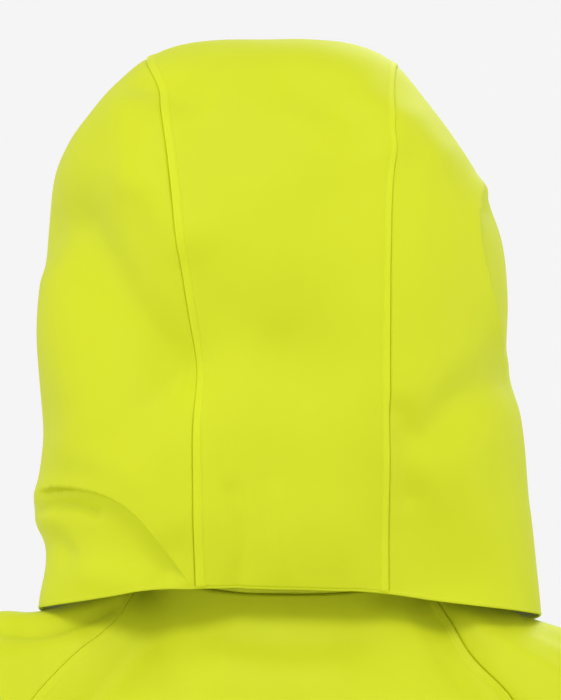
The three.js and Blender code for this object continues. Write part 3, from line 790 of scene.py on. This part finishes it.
def bodyField(p):
    x, y, z = np.abs(p[..., 0]), p[..., 1], p[..., 2]
    top = np.where(p[..., 0] > 0, body["stumpTopLeft"](x), body["stumpTopRight"](x))
    bottom = body["stumpBottom"](x)
    tall, middle = (top - bottom) / 2, (top + bottom) / 2
    wide = 52 + (96 - 52) * np.clip((x - 60) / 152, 0, 1.1)
    ring = np.hypot((y - body["sideY"]) / wide, (z - middle) / tall)
    limb = np.hypot(y - body["sideY"], z - middle) * (1 - 1 / np.maximum(ring, 1e-6))
    limb = np.maximum(limb, 60 - x)
    torso = torsoGap(p)
    blend = body["blend"]
    mixed = np.clip(0.5 + 0.5 * (limb - torso) / blend, 0, 1)
    return limb + (torso - limb) * mixed - blend * mixed * (1 - mixed)


def ontoBody(points, turns=14):
    shape = points.shape
    flat = points.reshape(-1, 3).copy()
    for _ in range(turns):
        value = bodyField(flat)
        slope = gradientOf(bodyField, flat)
        size = np.maximum((slope**2).sum(axis=-1), 0.2)
        flat -= np.clip(value / size, -25, 25)[:, None] * slope
    return flat.reshape(shape)


def levelPath(field, heightOf, start, end, count):
    # around the body from one angle to another, at a height that depends on y
    angles = np.linspace(start, end, 240)
    z = heightOf(np.zeros(len(angles))) + 0 * angles
    for _ in range(14):
        middle = np.stack([0 * z, 0 * z, z], axis=1)
        away = np.stack([np.cos(angles), np.sin(angles), 0 * z], axis=1)
        found = rootBetween(field, middle, middle + away * 420)
        z = z + 0.7 * (heightOf(found[:, 1]) - z)
    return evenly(found, count)


def raglanPath(line, side, facing, count):
    # from the neck seam down to the armpit; side is +1 on the wearer's left, facing +1 at the back
    flat = curveThrough(line, 200)
    inside = np.stack([side * flat[:, 0], np.full(200, body["sideY"]), flat[:, 1]], axis=1)
    outside = inside + np.array([0, 400.0 * facing, 0])
    found = rootBetween(bodyField, inside, outside)
    under = found[:, 2] <= body["neck"](found[:, 1])
    path = found[np.argmax(under):]
    return evenly(ontoBody(evenly(np.concatenate([path, [sidePoint(side, body["armpitZ"])]]), count)),
                  count)


def sidePoint(side, z):
    inside = np.array([[0, body["sideY"], z]])
    return rootBetween(bodyField, inside, inside + np.array([side * 400.0, 0, 0]))[0]


def sidePath(side, lowZ, highZ, count):
    z = np.linspace(lowZ, highZ, count)
    inside = np.stack([0 * z, 0 * z + body["sideY"], z], axis=1)
    return rootBetween(bodyField, inside, inside + np.array([side * 400.0, 0, 0]))


def neckAngle(point):
    return math.atan2(point[1], point[0])


bodyFolds = [
    {"path": [(190, -12), (160, -14), (128, -6), (104, 2)], "wide": 4.5, "height": 2.6},
    {"path": [(186, -22), (160, -23), (134, -16), (112, -6)], "wide": 4.5, "height": -3.0},
    {"path": [(184, -40), (160, -36), (136, -28)], "wide": 8, "height": 1.8},
    {"path": [(-98, -14), (-112, -36), (-130, -62), (-146, -80)], "wide": 9, "height": -4.6},
    {"path": [(-110, -10), (-140, -34), (-176, -56)], "wide": 8, "height": 2.8},
    {"path": [(-150, -14), (-176, -30)], "wide": 6, "height": -1.8},
    {"path": [(-62, -14), (-84, -30)], "wide": 12, "height": 2.4},
    {"path": [(52, -24), (0, -30), (-44, -26)], "wide": 14, "height": -2.2},
    {"path": [(40, -44), (4, -50), (-30, -52)], "wide": 14, "height": 3.0},
    {"path": [(80, -34), (58, -60), (40, -96)], "wide": 18, "height": -2.6},
    {"path": [(-10, -74), (20, -78), (60, -70)], "wide": 12, "height": -2.6},
    {"path": [(186, -190), (150, -250), (110, -330)], "wide": 13, "height": -4.0},
    {"path": [(196, -240), (168, -300), (130, -400)], "wide": 15, "height": 3.6},
    {"path": [(-186, -190), (-152, -256), (-116, -340)], "wide": 13, "height": -4.0},
    {"path": [(-196, -236), (-170, -300), (-138, -400)], "wide": 15, "height": 3.6},
    {"path": [(120, -420), (150, -560), (160, -730)], "wide": 22, "height": 3.4},
    {"path": [(60, -400), (72, -560), (78, -735)], "wide": 20, "height": -3.2},
    {"path": [(-10, -420), (-4, -560), (-12, -735)], "wide": 22, "height": 3.0},
    {"path": [(-84, -390), (-78, -560), (-86, -735)], "wide": 20, "height": -3.2},
    {"path": [(-140, -430), (-156, -560), (-164, -730)], "wide": 20, "height": 3.2},
]


def bodyRelief(flat):
    back = smoothStep(-20, 30, flat[:, 1])
    front = 1 - back
    mirrored = flat * np.array([-1.0, 1, 1])
    height = back * foldHeight(flat, bodyFolds)
    height += front * foldHeight(mirrored, bodyFolds[11:]) * smoothStep(18, 60, np.abs(flat[:, 0]))
    calm = 0.35 + 0.65 * smoothStep(-80, -300, flat[:, 2])
    zipCalm = np.where(flat[:, 1] < 0, smoothStep(12, 46, np.abs(flat[:, 0])), 1.0)
    height += softNoise(flat * np.array([1, 1, 0.3]), 42, 5.0) * 3.2 * calm * zipCalm
    height += softNoise(flat * np.array([1, 1, 0.6]), 17, 8.0) * 0.9 * calm * zipCalm
    return height


def drapeBody(points, added=0.0, calm=1.0):
    shape = points.shape
    flat = points.reshape(-1, 3)
    normal = outward(bodyField, flat)
    height = bodyRelief(flat) * np.broadcast_to(calm, shape[:-1]).reshape(-1)
    height = height + np.broadcast_to(added, shape[:-1]).reshape(-1)
    return (flat + normal * height[:, None]).reshape(shape), normal.reshape(shape)


torsoPitch = {"rows": 216, "seamRows": 94, "columns": 180, "back": 3.1, "front": 3.0, "frontColumns": 120,
              "armTurns": 251, "armRows": 52}


def makeTorso(finishes):
    shell = [finishes["shell"], finishes["lining"]]
    rows, seamRows = torsoPitch["rows"], torsoPitch["seamRows"]
    paths = {}
    for name, line, side, facing in (("backLeft", raglan["backLeft"], 1, 1),
                                     ("backRight", raglan["backRight"], -1, 1),
                                     ("frontLeft", raglan["front"], 1, -1),
                                     ("frontRight", raglan["front"], -1, -1)):
        paths[name] = raglanPath(line, side, facing, seamRows)
    sides = {1: sidePath(1, body["bandTop"], body["armpitZ"], rows - seamRows),
             -1: sidePath(-1, body["bandTop"], body["armpitZ"], rows - seamRows)}
    level = profile((-200, 0), (200, 0))

    def bandHeight(y):
        return level(y) + body["bandTop"]

    def edgeUp(side, seamName):
        whole = np.concatenate([sides[side], paths[seamName][::-1][1:]])
        return evenly(whole, rows)

    left, right = edgeUp(1, "backLeft"), edgeUp(-1, "backRight")
    columns = torsoPitch["columns"]
    hem = levelPath(bodyField, bandHeight, neckAngle(left[0]), neckAngle(right[0]), columns)
    neck = levelPath(torsoGap, body["neck"], neckAngle(left[-1]), neckAngle(right[-1]), columns)
    hem[0], hem[-1], neck[0], neck[-1] = left[0], right[0], left[-1], right[-1]
    sheet = ontoBody(patchBetween(hem, neck, left, right))
    sheet, gaps = refineRows(sheet, seamColumns[:10], seamColumns[:10], torsoPitch["back"])
    height = 0.3 * stripHeight(gaps[..., 0]) + 0.8 * stripHeight(gaps[..., 1])
    draped, normals = drapeBody(sheet, height)
    # where the strips beside the raglan seams get a painted highlight, at 0.4 of its strength
    highlightMask = 0.4 * seamHighlightMask(gaps[..., 0]) + 0.4 * seamHighlightMask(gaps[..., 1])
    addCloth("backPanel", draped, shell, "jacket_body", ["back_panel"], highlightMask=highlightMask)
    for side, column in (("left", 6), ("right", -7)):
        stitches(f"raglanStitches_{side}", draped[3:-3, column], normals[3:-3, column], finishes["thread"],
                 "jacket_body", 2.8, (1.9, 0.34, 0.3), -0.12)

    for name, side in (("left", 1), ("right", -1)):
        outer = edgeUp(side, "front" + name.capitalize())
        z = np.linspace(body["bandTop"], 0, 400)
        inside = np.stack([0 * z + side * body["zipRoom"], 0 * z, z], axis=1)
        zipEdge = rootBetween(bodyField, inside, inside - np.array([0, 300.0, 0]))
        zipEdge = evenly(zipEdge[zipEdge[:, 2] <= body["neck"](zipEdge[:, 1])], rows)
        start, end = neckAngle(zipEdge[0]), neckAngle(outer[0])
        startTop, endTop = neckAngle(zipEdge[-1]), neckAngle(outer[-1])
        if side < 0:
            start, startTop = start % (2 * math.pi), startTop % (2 * math.pi)
            end, endTop = end % (2 * math.pi), endTop % (2 * math.pi)
        low = levelPath(bodyField, bandHeight, start, end, torsoPitch["frontColumns"])
        high = levelPath(torsoGap, body["neck"], startTop, endTop, torsoPitch["frontColumns"])
        low[0], low[-1], high[0], high[-1] = zipEdge[0], outer[0], zipEdge[-1], outer[-1]
        sheet = ontoBody(patchBetween(low, high, zipEdge, outer))
        sheet, gaps = refineRows(sheet, [0, 0.8, 2.0], seamColumns[:10], torsoPitch["front"])
        height = stripHeight(gaps[..., 1]) - 1.6 * np.exp(-((gaps[..., 0] / 1.6) ** 2))
        draped, _ = drapeBody(sheet, height)
        if side < 0:
            draped = draped[:, ::-1]
        piece = addCloth(f"frontPanel_{name}", draped, shell, "jacket_body",
                         [f"front_panel_{name}"])
        slots = [(118, -640, -470, 5.4)] + ([(92, -340, -190, 5.4)] if side > 0 else [])
        openSlots(piece.data, slots, side)

    for name, side in (("left", 1), ("right", -1)):
        back, front = paths["back" + name.capitalize()], paths["front" + name.capitalize()]
        start, end = neckAngle(back[0]), neckAngle(front[0])
        if side < 0:
            end = end % (2 * math.pi)
        neck = levelPath(torsoGap, body["neck"], start, end, 90)
        loop = np.concatenate([back[::-1], neck[1:-1], front])
        armX, armY, armZ, radius = body["armhole"]
        angle = np.unwrap(np.arctan2(loop[:, 2] - armZ, loop[:, 1] - armY))
        angle = np.maximum.accumulate(angle - angle[0] - math.pi / 2)
        turn = np.linspace(-math.pi / 2, math.pi * 1.5, torsoPitch["armTurns"])
        inner = np.stack([np.interp(turn, angle, loop[:, k]) for k in range(3)], axis=1)
        ring = np.stack([0 * turn + side * armX, armY + radius * np.cos(turn),
                         armZ + radius * np.sin(turn)], axis=1)
        share = np.linspace(0, 1, torsoPitch["armRows"])[:, None, None]
        sheet = ontoBody(inner[None] * (1 - share) + ring[None] * share)
        sheet[0], sheet[-1] = inner, ring
        steps = np.linalg.norm(np.diff(sheet, axis=0), axis=2)
        fromSeam = np.concatenate([np.zeros((1, len(turn))), np.cumsum(steps, axis=0)])
        calm = smoothStep(0, 24, fromSeam[-1:] - fromSeam)
        groove = 0.35 if side > 0 else 0.8
        draped, _ = drapeBody(sheet, groove * grooveHeight(fromSeam), 0.2 + 0.8 * calm)
        if side < 0:
            draped = draped[:, ::-1]
        draped[:, -1] = draped[:, 0]
        addCloth(f"shoulderShell_{name}", draped, shell, "jacket_body",
                 [f"shoulder_{name}"], closed=True)
    print("torso made")

    edge = math.asin(body["zipRoom"] / 140)
    angles = (-math.pi / 2 + edge, math.pi * 1.5 - edge)
    levels = np.concatenate([[body["hemZ"] + 0.4],
                             np.linspace(body["hemZ"] + 1.5, body["bandTop"] - 2, 13),
                             [body["bandTop"] - 0.6]])
    band = []
    for z in levels:
        row = levelPath(torsoGap, profile((-200, z), (200, z)), *angles, 420)
        band.append(row)
    band = np.array(band)
    share = np.linspace(0, 1, len(levels))[:, None]
    puff = 1.1 * np.sin(np.pi * np.clip(share, 0, 1)) ** 0.5 - 0.6
    band, _ = drapeBody(band, puff + 0 * band[..., 0])
    addCloth("hemBand", band, [finishes["trim"], finishes["lining"]], "jacket_body",
             ["hem_band"], 1.8)
    line = band[-3]
    stitches("hemStitches", line, outward(bodyField, line), finishes["thread"], "jacket_body",
             3.4, (2.3, 0.42, 0.36), 0.05)

    neck = levelPath(torsoGap, body["neck"], *angles, 300)
    top = levelPath(torsoGap, body["collar"], *angles, 300)
    share = np.linspace(0, 1, 34)[:, None, None]
    wall = neck[None] * (1 - share) + top[None] * share
    normal = outward(torsoGap, wall)
    wall = wall - torsoGap(wall)[..., None] * normal
    bulge = (1.0 * np.sin(np.pi * share[..., 0]) - 1.4 * np.exp(-((share[..., 0] / 0.03) ** 2)))
    wave = softNoise((wall * np.array([1, 1, 0.5])).reshape(-1, 3), 36, 2.0).reshape(wall.shape[:2]) * 1.2
    outer = wall + normal * (bulge + wave)[..., None]
    addCloth("collarOuter", outer, finishes["shell"], "jacket_body", ["collar_outer"], 1.0)
    inner = wall + normal * (wave - 2.6)[..., None]
    addCloth("collarLining", inner[:, ::-1], finishes["lining"], "jacket_body",
             ["collar_lining"], 0.8)
    rim = tubeAlong(wall[-1] + normal[-1] * (wave[-1] - 1.3)[:, None], 1.9, 12, normal[-1])
    addPiece("collarRim", gridMesh("collarRim", rim, True), finishes["trim"], "jacket_body")


def openSlots(mesh, slots, side):
    # cuts the zipped slots out of a front panel
    bm = bmesh.new()
    bm.from_mesh(mesh)
    doomed = []
    for one in bm.faces:
        centre = one.calc_center_median() / mm
        for x, low, high, half in slots:
            if abs(centre.x - side * x) < half and low < centre.z < high:
                doomed.append(one)
                break
    bmesh.ops.delete(bm, geom=doomed, context="FACES")
    bm.to_mesh(mesh)
    bm.free()


# The sleeves: rings between a point on top of the arm and one under it, from the armhole to the cuff
sleeve = {
    "top": ((213, -26), (250, -33), (290, -58), (322, -96), (344, -145), (357, -205), (365, -290),
            (372, -400),
            (379, -540), (384, -690)),
    "under": ((213, -218), (216, -222), (219, -228), (222, -237), (226, -251), (231, -276), (237, -325),
              (248, -412),
              (268, -547), (290, -692)),
    "wide": (96, 94, 89, 84, 79, 75, 71, 64, 56, 47),
    "y": (5, 5, 6, 7, 8, 9, 11, 14, 9, -6),
    "stations": (0, 37, 76, 116, 160, 211, 280, 390, 528, 676),
}
sleeveFolds = [
    {"path": [(-40, 60), (20, 110), (60, 150)], "wide": 12, "height": -4.0},
    {"path": [(-50, 110), (10, 160), (60, 190)], "wide": 12, "height": 3.2},
    {"path": [(120, 330), (180, 350), (240, 340)], "wide": 9, "height": -5.0},
    {"path": [(110, 370), (180, 388), (250, 372)], "wide": 9, "height": -4.4},
    {"path": [(130, 300), (190, 312), (240, 300)], "wide": 9, "height": 3.0},
    {"path": [(90, 420), (150, 405), (200, 430)], "wide": 11, "height": 3.4},
    {"path": [(250, 240), (290, 330), (270, 430)], "wide": 14, "height": -3.4},
    {"path": [(10, 380), (40, 470), (30, 560)], "wide": 16, "height": -3.6},
    {"path": [(100, 520), (160, 540), (230, 520)], "wide": 10, "height": 3.0},
    {"path": [(60, 590), (150, 600), (250, 585)], "wide": 9, "height": -3.0},
    {"path": [(270, 560), (330, 590), (350, 630)], "wide": 10, "height": 2.6},
]


def sleevePoints(side, stations, angles):
    smooth = {}
    for key in ("top", "under"):
        for axis, letter in ((0, "x"), (1, "z")):
            smooth[key + letter] = profile(*zip(sleeve["stations"], [pair[axis] for pair in sleeve[key]]))
    for key in ("wide", "y"):
        smooth[key] = profile(*zip(sleeve["stations"], sleeve[key]))
    t = stations[:, None]
    topX, topZ, underX, underZ = (smooth[key](t) for key in ("topx", "topz", "underx", "underz"))
    c, s = np.cos(angles)[None], np.sin(angles)[None]
    x = (topX + underX) / 2 + (topX - underX) / 2 * s
    z = (topZ + underZ) / 2 + (topZ - underZ) / 2 * s
    y = smooth["y"](t) + smooth["wide"](t) * c
    return np.stack([side * x, y, z], axis=-1)


def sleeveRelief(points, stations, angles):
    around = np.degrees(angles)[None] % 360 + 0 * stations[:, None]
    along = stations[:, None] + 0 * angles[None]
    places = np.stack([around.reshape(-1), 0 * around.reshape(-1), along.reshape(-1)], axis=1)
    height = foldHeight(places, sleeveFolds)
    height += foldHeight(places - np.array([360.0, 0, 0]), sleeveFolds)
    flat = points.reshape(-1, 3)
    height += softNoise(flat * np.array([1, 1, 0.7]), 34, 7.0) * 3.0 + softNoise(flat, 15, 4.0) * 0.9
    ends = smoothStep(2, 40, along) * (0.25 + 0.75 * smoothStep(2, 46, stations[-1] - along))
    return height.reshape(points.shape[:2]) * ends


sleevePitch = {"around": 185, "along": 230}


def makeSleeves(finishes):
    angles = np.linspace(-math.pi / 2, math.pi * 1.5, sleevePitch["around"])
    for name, side in (("left", 1), ("right", -1)):
        stations = np.linspace(1.0, 646, sleevePitch["along"])
        points = sleevePoints(side, stations, angles)
        normal = gridNormals(points) * side
        relief = sleeveRelief(points, stations, angles)
        draped = points + normal * relief[..., None]
        draped[:, -1] = draped[:, 0]
        grid = draped if side > 0 else draped[:, ::-1]
        addCloth(f"sleeveShell_{name}", grid, [finishes["shell"], finishes["lining"]], f"sleeve_{name}",
                 [f"sleeve_{name}"], closed=True)
        cuffStations = np.linspace(647.5, 674, 16)
        cuff = sleevePoints(side, cuffStations, angles)
        cuffNormal = gridNormals(cuff) * side
        share = np.linspace(0, 1, 16)[:, None]
        puff = 0.9 * np.sin(np.pi * share) ** 0.5 - 0.5
        cuff = cuff + cuffNormal * (puff + 0 * cuff[..., 0])[..., None]
        cuff[:, -1] = cuff[:, 0]
        grid = cuff if side > 0 else cuff[:, ::-1]
        addCloth(f"cuffShell_{name}", grid, [finishes["trim"], finishes["lining"]], f"sleeve_{name}",
                 [f"cuff_{name}"], 1.6, closed=True)
        line = cuff[2]
        stitches(f"cuffStitches_{name}", line, cuffNormal[2], finishes["thread"], f"sleeve_{name}",
                 3.2, (2.2, 0.4, 0.34), 0.05)
        for piece, span, low, high, lift, body_, slot, finish, node, wall in (
                ("cuffPatch", (104, 12), 652, 670, 1.5, f"sleeve_{name}", "loop_fleece", "loop",
                 "cuff_patch", 0.6),
                ("cuffTab", (113, 6), 650, 672, 3.4, f"cuff_tab_{name}", "shell_fabric", "trim",
                 "cuff_tab", 1.4)):
            turn = np.radians(np.linspace(*span, 60)) if side > 0 else np.radians(np.linspace(*span, 60))
            rows = np.linspace(low, high, 14)
            patch = sleevePoints(side, rows, turn)
            up = gridNormals(sleevePoints(side, rows, turn)) * -side
            patch = patch + up * lift
            grid = patch if side < 0 else patch[:, ::-1]
            addCloth(f"{piece}_{name}", grid, finishes[finish], body_, [f"{node}_{name}"], wall)


# The zips: tapes, a chain of teeth, a slider and its pull, in a frame with -Y out and -Z along the zip
zips = {
    "main": {"x": 0.0, "top": 26.0, "bottom": -744.0},
    "pocket": {"x": 118.0, "top": -470.0, "bottom": -640.0},
    "chest": {"x": 92.0, "top": -190.0, "bottom": -340.0},
}


def zipPlace(spec, side=1):
    x, top, bottom = spec["x"], spec["top"], spec["bottom"]

    def depth(across, z):
        power = body["power"]
        return float(frontY(z) * (1 - abs(across / body["half"](z)) ** power) ** (1 / power))

    middle = (top + bottom) / 2
    turn = 0.0 if x == 0 else math.atan2(depth(x + 1, middle) - depth(x - 1, middle), 2)
    lean = math.atan2(depth(x, top) - depth(x, bottom), top - bottom)
    seat = Matrix.Translation((x, depth(x, top), top))
    place = seat @ Matrix.Rotation(turn, 4, "Z") @ Matrix.Rotation(-lean, 4, "X")
    if side < 0:
        place = Matrix.Diagonal((-1, 1, 1, 1)) @ place
    return place, math.hypot(depth(x, top) - depth(x, bottom), top - bottom)


def placed(place, points):
    turn = np.array(place.to_3x3())
    return points @ turn.T + np.array(place.translation)


def meshFrom(name, bm, place):
    bmesh.ops.transform(bm, matrix=Matrix.Scale(mm, 4) @ place, verts=bm.verts)
    bmesh.ops.recalc_face_normals(bm, faces=bm.faces)
    mesh = bpy.data.meshes.new(name)
    bm.to_mesh(mesh)
    bm.free()
    return mesh


def addBlock(bm, low, high, bevel, segments=3):
    size = [b - a for a, b in zip(low, high)]
    middle = [(a + b) / 2 for a, b in zip(low, high)]
    made = bmesh.ops.create_cube(bm, size=1,
                                 matrix=Matrix.Translation(middle) @ Matrix.Diagonal((*size, 1)))
    edges = {edge for vert in made["verts"] for edge in vert.link_edges}
    bmesh.ops.bevel(bm, geom=list(edges), offset=bevel, segments=segments, profile=0.5, affect="EDGES",
                    material=-1)


def makeZip(finishes, prefix, end, spec, side=1):
    place, length = zipPlace(spec, side)
    bm = bmesh.new()
    pitch = 1.5
    for index in range(int(length / pitch)):
        hand = 1 if index % 2 else -1
        centre = (hand * 0.75, 0.9, -0.8 - index * pitch)
        shape = Matrix.Translation(centre) @ Matrix.Diagonal((1.5, 1.05, 0.72, 1))
        bmesh.ops.create_icosphere(bm, subdivisions=1, radius=1, matrix=shape)
    addPiece(f"{prefix}Teeth{end}", meshFrom("teeth", bm, place), finishes["coil"], "jacket_body",
             [f"{prefix}_zip_teeth{end}"])
    bm = bmesh.new()
    addBlock(bm, (-5.2, -2.6, -13), (5.2, -0.9, 0), 0.75)
    addBlock(bm, (-5.2, 2.4, -13), (5.2, 3.3, 0), 0.4)
    for hand in (-1, 1):
        addBlock(bm, (hand * 4.3 - 0.9, -1.4, -12.4), (hand * 4.3 + 0.9, 2.7, -0.6), 0.4)
        addBlock(bm, (hand * 4.3 - 0.85, -6.0, -6.4), (hand * 4.3 + 0.85, -1.6, -1.6), 0.6)
    addPiece(f"{prefix}Slider{end}", meshFrom("slider", bm, place), finishes["metal"],
             f"{prefix}_slider{end}",
             [f"{prefix}_zip_slider{end}"])
    bm = bmesh.new()
    pin = Matrix.Translation((0, -4.6, -4)) @ Matrix.Rotation(math.pi / 2, 4, "Y")
    bmesh.ops.create_cone(bm, cap_ends=True, segments=16, radius1=0.9, radius2=0.9, depth=6, matrix=pin)
    addBlock(bm, (-2.8, -5.5, -28.4), (2.8, -3.9, -9.5), 0.7)
    for hand in (-1, 1):
        addBlock(bm, (hand * 2.0 - 0.7, -5.2, -10.5), (hand * 2.0 + 0.7, -4.0, -3.4), 0.45)
    for row in range(4):
        addBlock(bm, (-2.1, -5.75, -26.6 + row * 3.6), (2.1, -5.2, -25.2 + row * 3.6), 0.2, 2)
    addPiece(f"{prefix}Pull{end}", meshFrom("pull", bm, place), finishes["plastic"], f"{prefix}_pull{end}",
             [f"{prefix}_zip_pull{end}"])
    if spec["x"] == 0:
        strips = ((0.6, 13.0, 4.9, "_left"), (-13.0, -0.6, 4.9, "_right"))
    else:
        strips = ((-10.0, 10.0, 7.0, end),)
    for low, high, deep, tail in strips:
        x = np.linspace(low, high, 9)[None, :]
        z = np.linspace(-length - 6, 10, 80)[:, None]
        grid = np.stack([x + 0 * z, deep - 0.35 + 0 * x + 0 * z, z + 0 * x], axis=-1)
        grid = placed(place, grid.reshape(-1, 3)).reshape(grid.shape)
        if side < 0:
            grid = grid[:, ::-1]
        addCloth(f"{prefix}Tape{tail}", grid, finishes["zipTape"], "jacket_body",
                 [f"{prefix}_zip_tape{tail}"], 0.7)
    if spec["x"] > 0:
        makeWelt(finishes, f"{prefix}Welt{end}", place, length, side)


def makeWelt(finishes, name, place, length, side):
    # a bonded frame round a zipped slot
    x, low, high, round_ = 7.6, -length - 5.5, 5.5, 4.0
    outline = []
    for cx, cz, start in ((x - round_, high - round_, 0), (-x + round_, high - round_, 90),
                          (-x + round_, low + round_, 180), (x - round_, low + round_, 270)):
        for turn in np.radians(np.linspace(start, start + 90, 9)):
            outline.append((cx + round_ * math.cos(turn), 0.0, cz + round_ * math.sin(turn)))
    outline.append(outline[0])
    path = evenly(np.array(outline), 260)
    world = placed(place, path)
    onto = ontoBody(world)
    onto, _ = drapeBody(onto)
    normals = outward(bodyField, onto)
    band = bandAlong(onto, normals, 6.4, -0.9, 1.5, 9)
    band[-1] = band[0]
    grid = band if side > 0 else band[:, ::-1]
    addCloth(name, grid, finishes["trim"], "jacket_body", (), 0.9)


def makeInside(finishes):
    # pocket bags, the flap and chin guard behind the main zip, the loop and the blank label
    def plate(name, node, front, low, high, finish, slot, wall):
        x = np.linspace(low[0], high[0], 26)[None, :]
        z = np.linspace(low[2], high[2], 50)[:, None]
        wave = 0.5 * np.sin(x / 17 + z / 40)
        grid = np.stack([x + 0 * z, (low[1] + high[1]) / 2 + wave, z + 0 * x], axis=-1)
        addCloth(name, grid, finishes[finish], "jacket_body", [node], wall)

    for side in ("left", "right"):
        plate(f"pocketBag_{side}", f"pocket_bag_{side}", f"frontPanel_{side}", *boxMm(f"pocket_bag_{side}"),
              "lining", "lining_fabric", 0.6)
    plate("chestBag", "chest_bag", "frontPanel_left", *boxMm("chest_bag"), "lining", "lining_fabric", 0.6)
    for name, node, finish, slot, top, bottom, deep, low, high in (
            ("stormFlap", "storm_flap", "trim", "shell_fabric", 44, -756, 6.3, -22, 16),
            ("chinGuard", "chin_guard", "lining", "lining_fabric", 46, 6, 8.8, -28, 26)):
        z = np.linspace(bottom, top, 120)[:, None]
        x = np.linspace(low, high, 14)[None, :]
        wave = 0.25 * np.sin(z / 23.0) * np.cos(x / 9.0)
        grid = np.stack([x + 0 * z, frontY(z) + deep + wave + 0 * x, z + 0 * x], axis=-1)
        addCloth(name, grid, finishes[finish], "jacket_body", [node], 1.2)
    turn = np.linspace(-math.pi, 0, 40)
    path = np.stack([33 * np.cos(turn), 66 + 15 * np.sin(turn), 10 + 0 * turn], axis=1)
    normals = np.stack([np.cos(turn) / 33, np.sin(turn) / 15, 0 * turn], axis=1)
    normals /= np.linalg.norm(normals, axis=1, keepdims=True)
    loop = bandAlong(path, normals, 7.6, -0.5, 0.4, 9)
    addCloth("hangLoop", loop, finishes["trim"], "jacket_body", ["hang_loop"], 1.4)
    low, high = boxMm("blank_label")
    x = np.linspace(high[0], low[0], 12)[None, :]
    z = np.linspace(low[2], high[2], 10)[:, None]
    grid = np.stack([x + 0 * z, low[1] + 0.3 - 0.002 * x**2 + 0 * z, z + 0 * x], axis=-1)
    addCloth("blankLabel", grid, finishes["lining"], "jacket_body", ["blank_label"], 0.5)


def paintNodes(finishes):
    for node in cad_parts:
        name = node if isinstance(node, str) else node["node"]
        piece = bpy.data.objects.get(name)
        if piece and ("lock" in name or name == "main_zip_box"):
            for slotItem in piece.material_slots:
                slotItem.material = finishes["plastic"]
            if not piece.material_slots:
                piece.data.materials.append(finishes["plastic"])


finishes = makeFinishes()
print("materials made")
hoodParts = makeHood(finishes)
makeHoodTrim(finishes, hoodParts)
print("hood made")
makeTorso(finishes)
print("body made")
makeSleeves(finishes)
print("sleeves made")
makeZip(finishes, "main", "", zips["main"])
for end, side in (("_left", 1), ("_right", -1)):
    makeZip(finishes, "pocket", end, zips["pocket"], side)
makeZip(finishes, "chest", "", zips["chest"])
makeInside(finishes)
paintNodes(finishes)
print("zips and inside made")


# The room: a pale floor, soft light from above, and a camera behind the jacket
camera = {"aim": (6.0, 0.0, 160.0), "away": 4.0, "below": 4.0, "seenTall": 451.6}


def makeCamera():
    data = bpy.data.cameras.new("camera")
    data.lens = data.sensor_width * camera["away"] / (camera["seenTall"] * mm)
    data.clip_end = 60
    eye = bpy.data.objects.new("camera", data)
    aim = Vector(camera["aim"]) * mm
    tilt = math.radians(camera["below"])
    eye.location = aim + camera["away"] * Vector((0, math.cos(tilt), -math.sin(tilt)))
    eye.rotation_euler = (aim - eye.location).to_track_quat("-Z", "Y").to_euler()
    scene.collection.objects.link(eye)
    scene.camera = eye


def makeRoom():
    bm = bmesh.new()
    bmesh.ops.create_grid(bm, x_segments=2, y_segments=2, size=14)
    bmesh.ops.translate(bm, verts=bm.verts, vec=(0, 0, cadBounds[0][2] - 0.004))
    mesh = bpy.data.meshes.new("floor")
    bm.to_mesh(mesh)
    bm.free()
    floor = bpy.data.objects.new("floor", mesh)
    scene.collection.objects.link(floor)
    paint = bpy.data.materials.new("paleFloor")
    paint.use_nodes = True
    paint.node_tree.nodes["Principled BSDF"].inputs["Base Color"].default_value = (0.86, 0.86, 0.86, 1)
    paint.node_tree.nodes["Principled BSDF"].inputs["Roughness"].default_value = 0.8
    mesh.materials.append(paint)
    world = bpy.data.worlds.new("softSky")
    scene.world = world
    world.use_nodes = True
    tree = world.node_tree
    direction = addNode(tree, "ShaderNodeTexCoord")
    split = addNode(tree, "ShaderNodeSeparateXYZ")
    link(tree, direction.outputs["Generated"], split.inputs[0])
    ramp = addNode(tree, "ShaderNodeValToRGB")
    steps = ((0.0, 0.7), (0.44, 0.75), (0.49, 0.913), (0.57, 0.913), (0.62, 0.74), (0.85, 0.68),
             (1.0, 0.68))
    for index, (at, value) in enumerate(steps):
        stop = ramp.color_ramp.elements[index] if index < 2 else ramp.color_ramp.elements.new(at)
        stop.position = at
        stop.color = (value, value, value, 1)
    height = mathNode(tree, "MULTIPLY_ADD", split.outputs["Z"], 0.5)
    height.node.inputs[2].default_value = 0.5
    link(tree, height, ramp.inputs["Fac"])
    link(tree, ramp.outputs["Color"], tree.nodes["Background"].inputs["Color"])
    for name, place, aim, size, power in (("backLight", (0.35, 2.35, 2.2), (0, 0, 0.1), 1.1, 29),
                                          ("lowLight", (0.1, 2.2, -1.3), (0, 0, 0.0), 1.4, 17),
                                          ("leftLight", (2.9, 0.6, -0.1), (0, 0, 0.1), 1.6, 10),
                                          ("rightLight", (-2.9, 0.6, 0.1), (0, 0, 0.1), 1.6, 10),
                                          ("frontLight", (-0.8, -2.4, 1.8), (0, 0, -0.2), 1.4, 20)):
        data = bpy.data.lights.new(name, "AREA")
        data.shape = "DISK"
        data.size = size
        data.energy = power
        lamp = bpy.data.objects.new(name, data)
        lamp.location = place
        lamp.rotation_euler = (Vector(aim) - Vector(place)).to_track_quat("-Z", "Y").to_euler()
        lamp.visible_camera = False
        scene.collection.objects.link(lamp)
    scene.view_settings.view_transform = "Standard"
    scene.view_settings.look = "None"


makeCamera()
makeRoom()
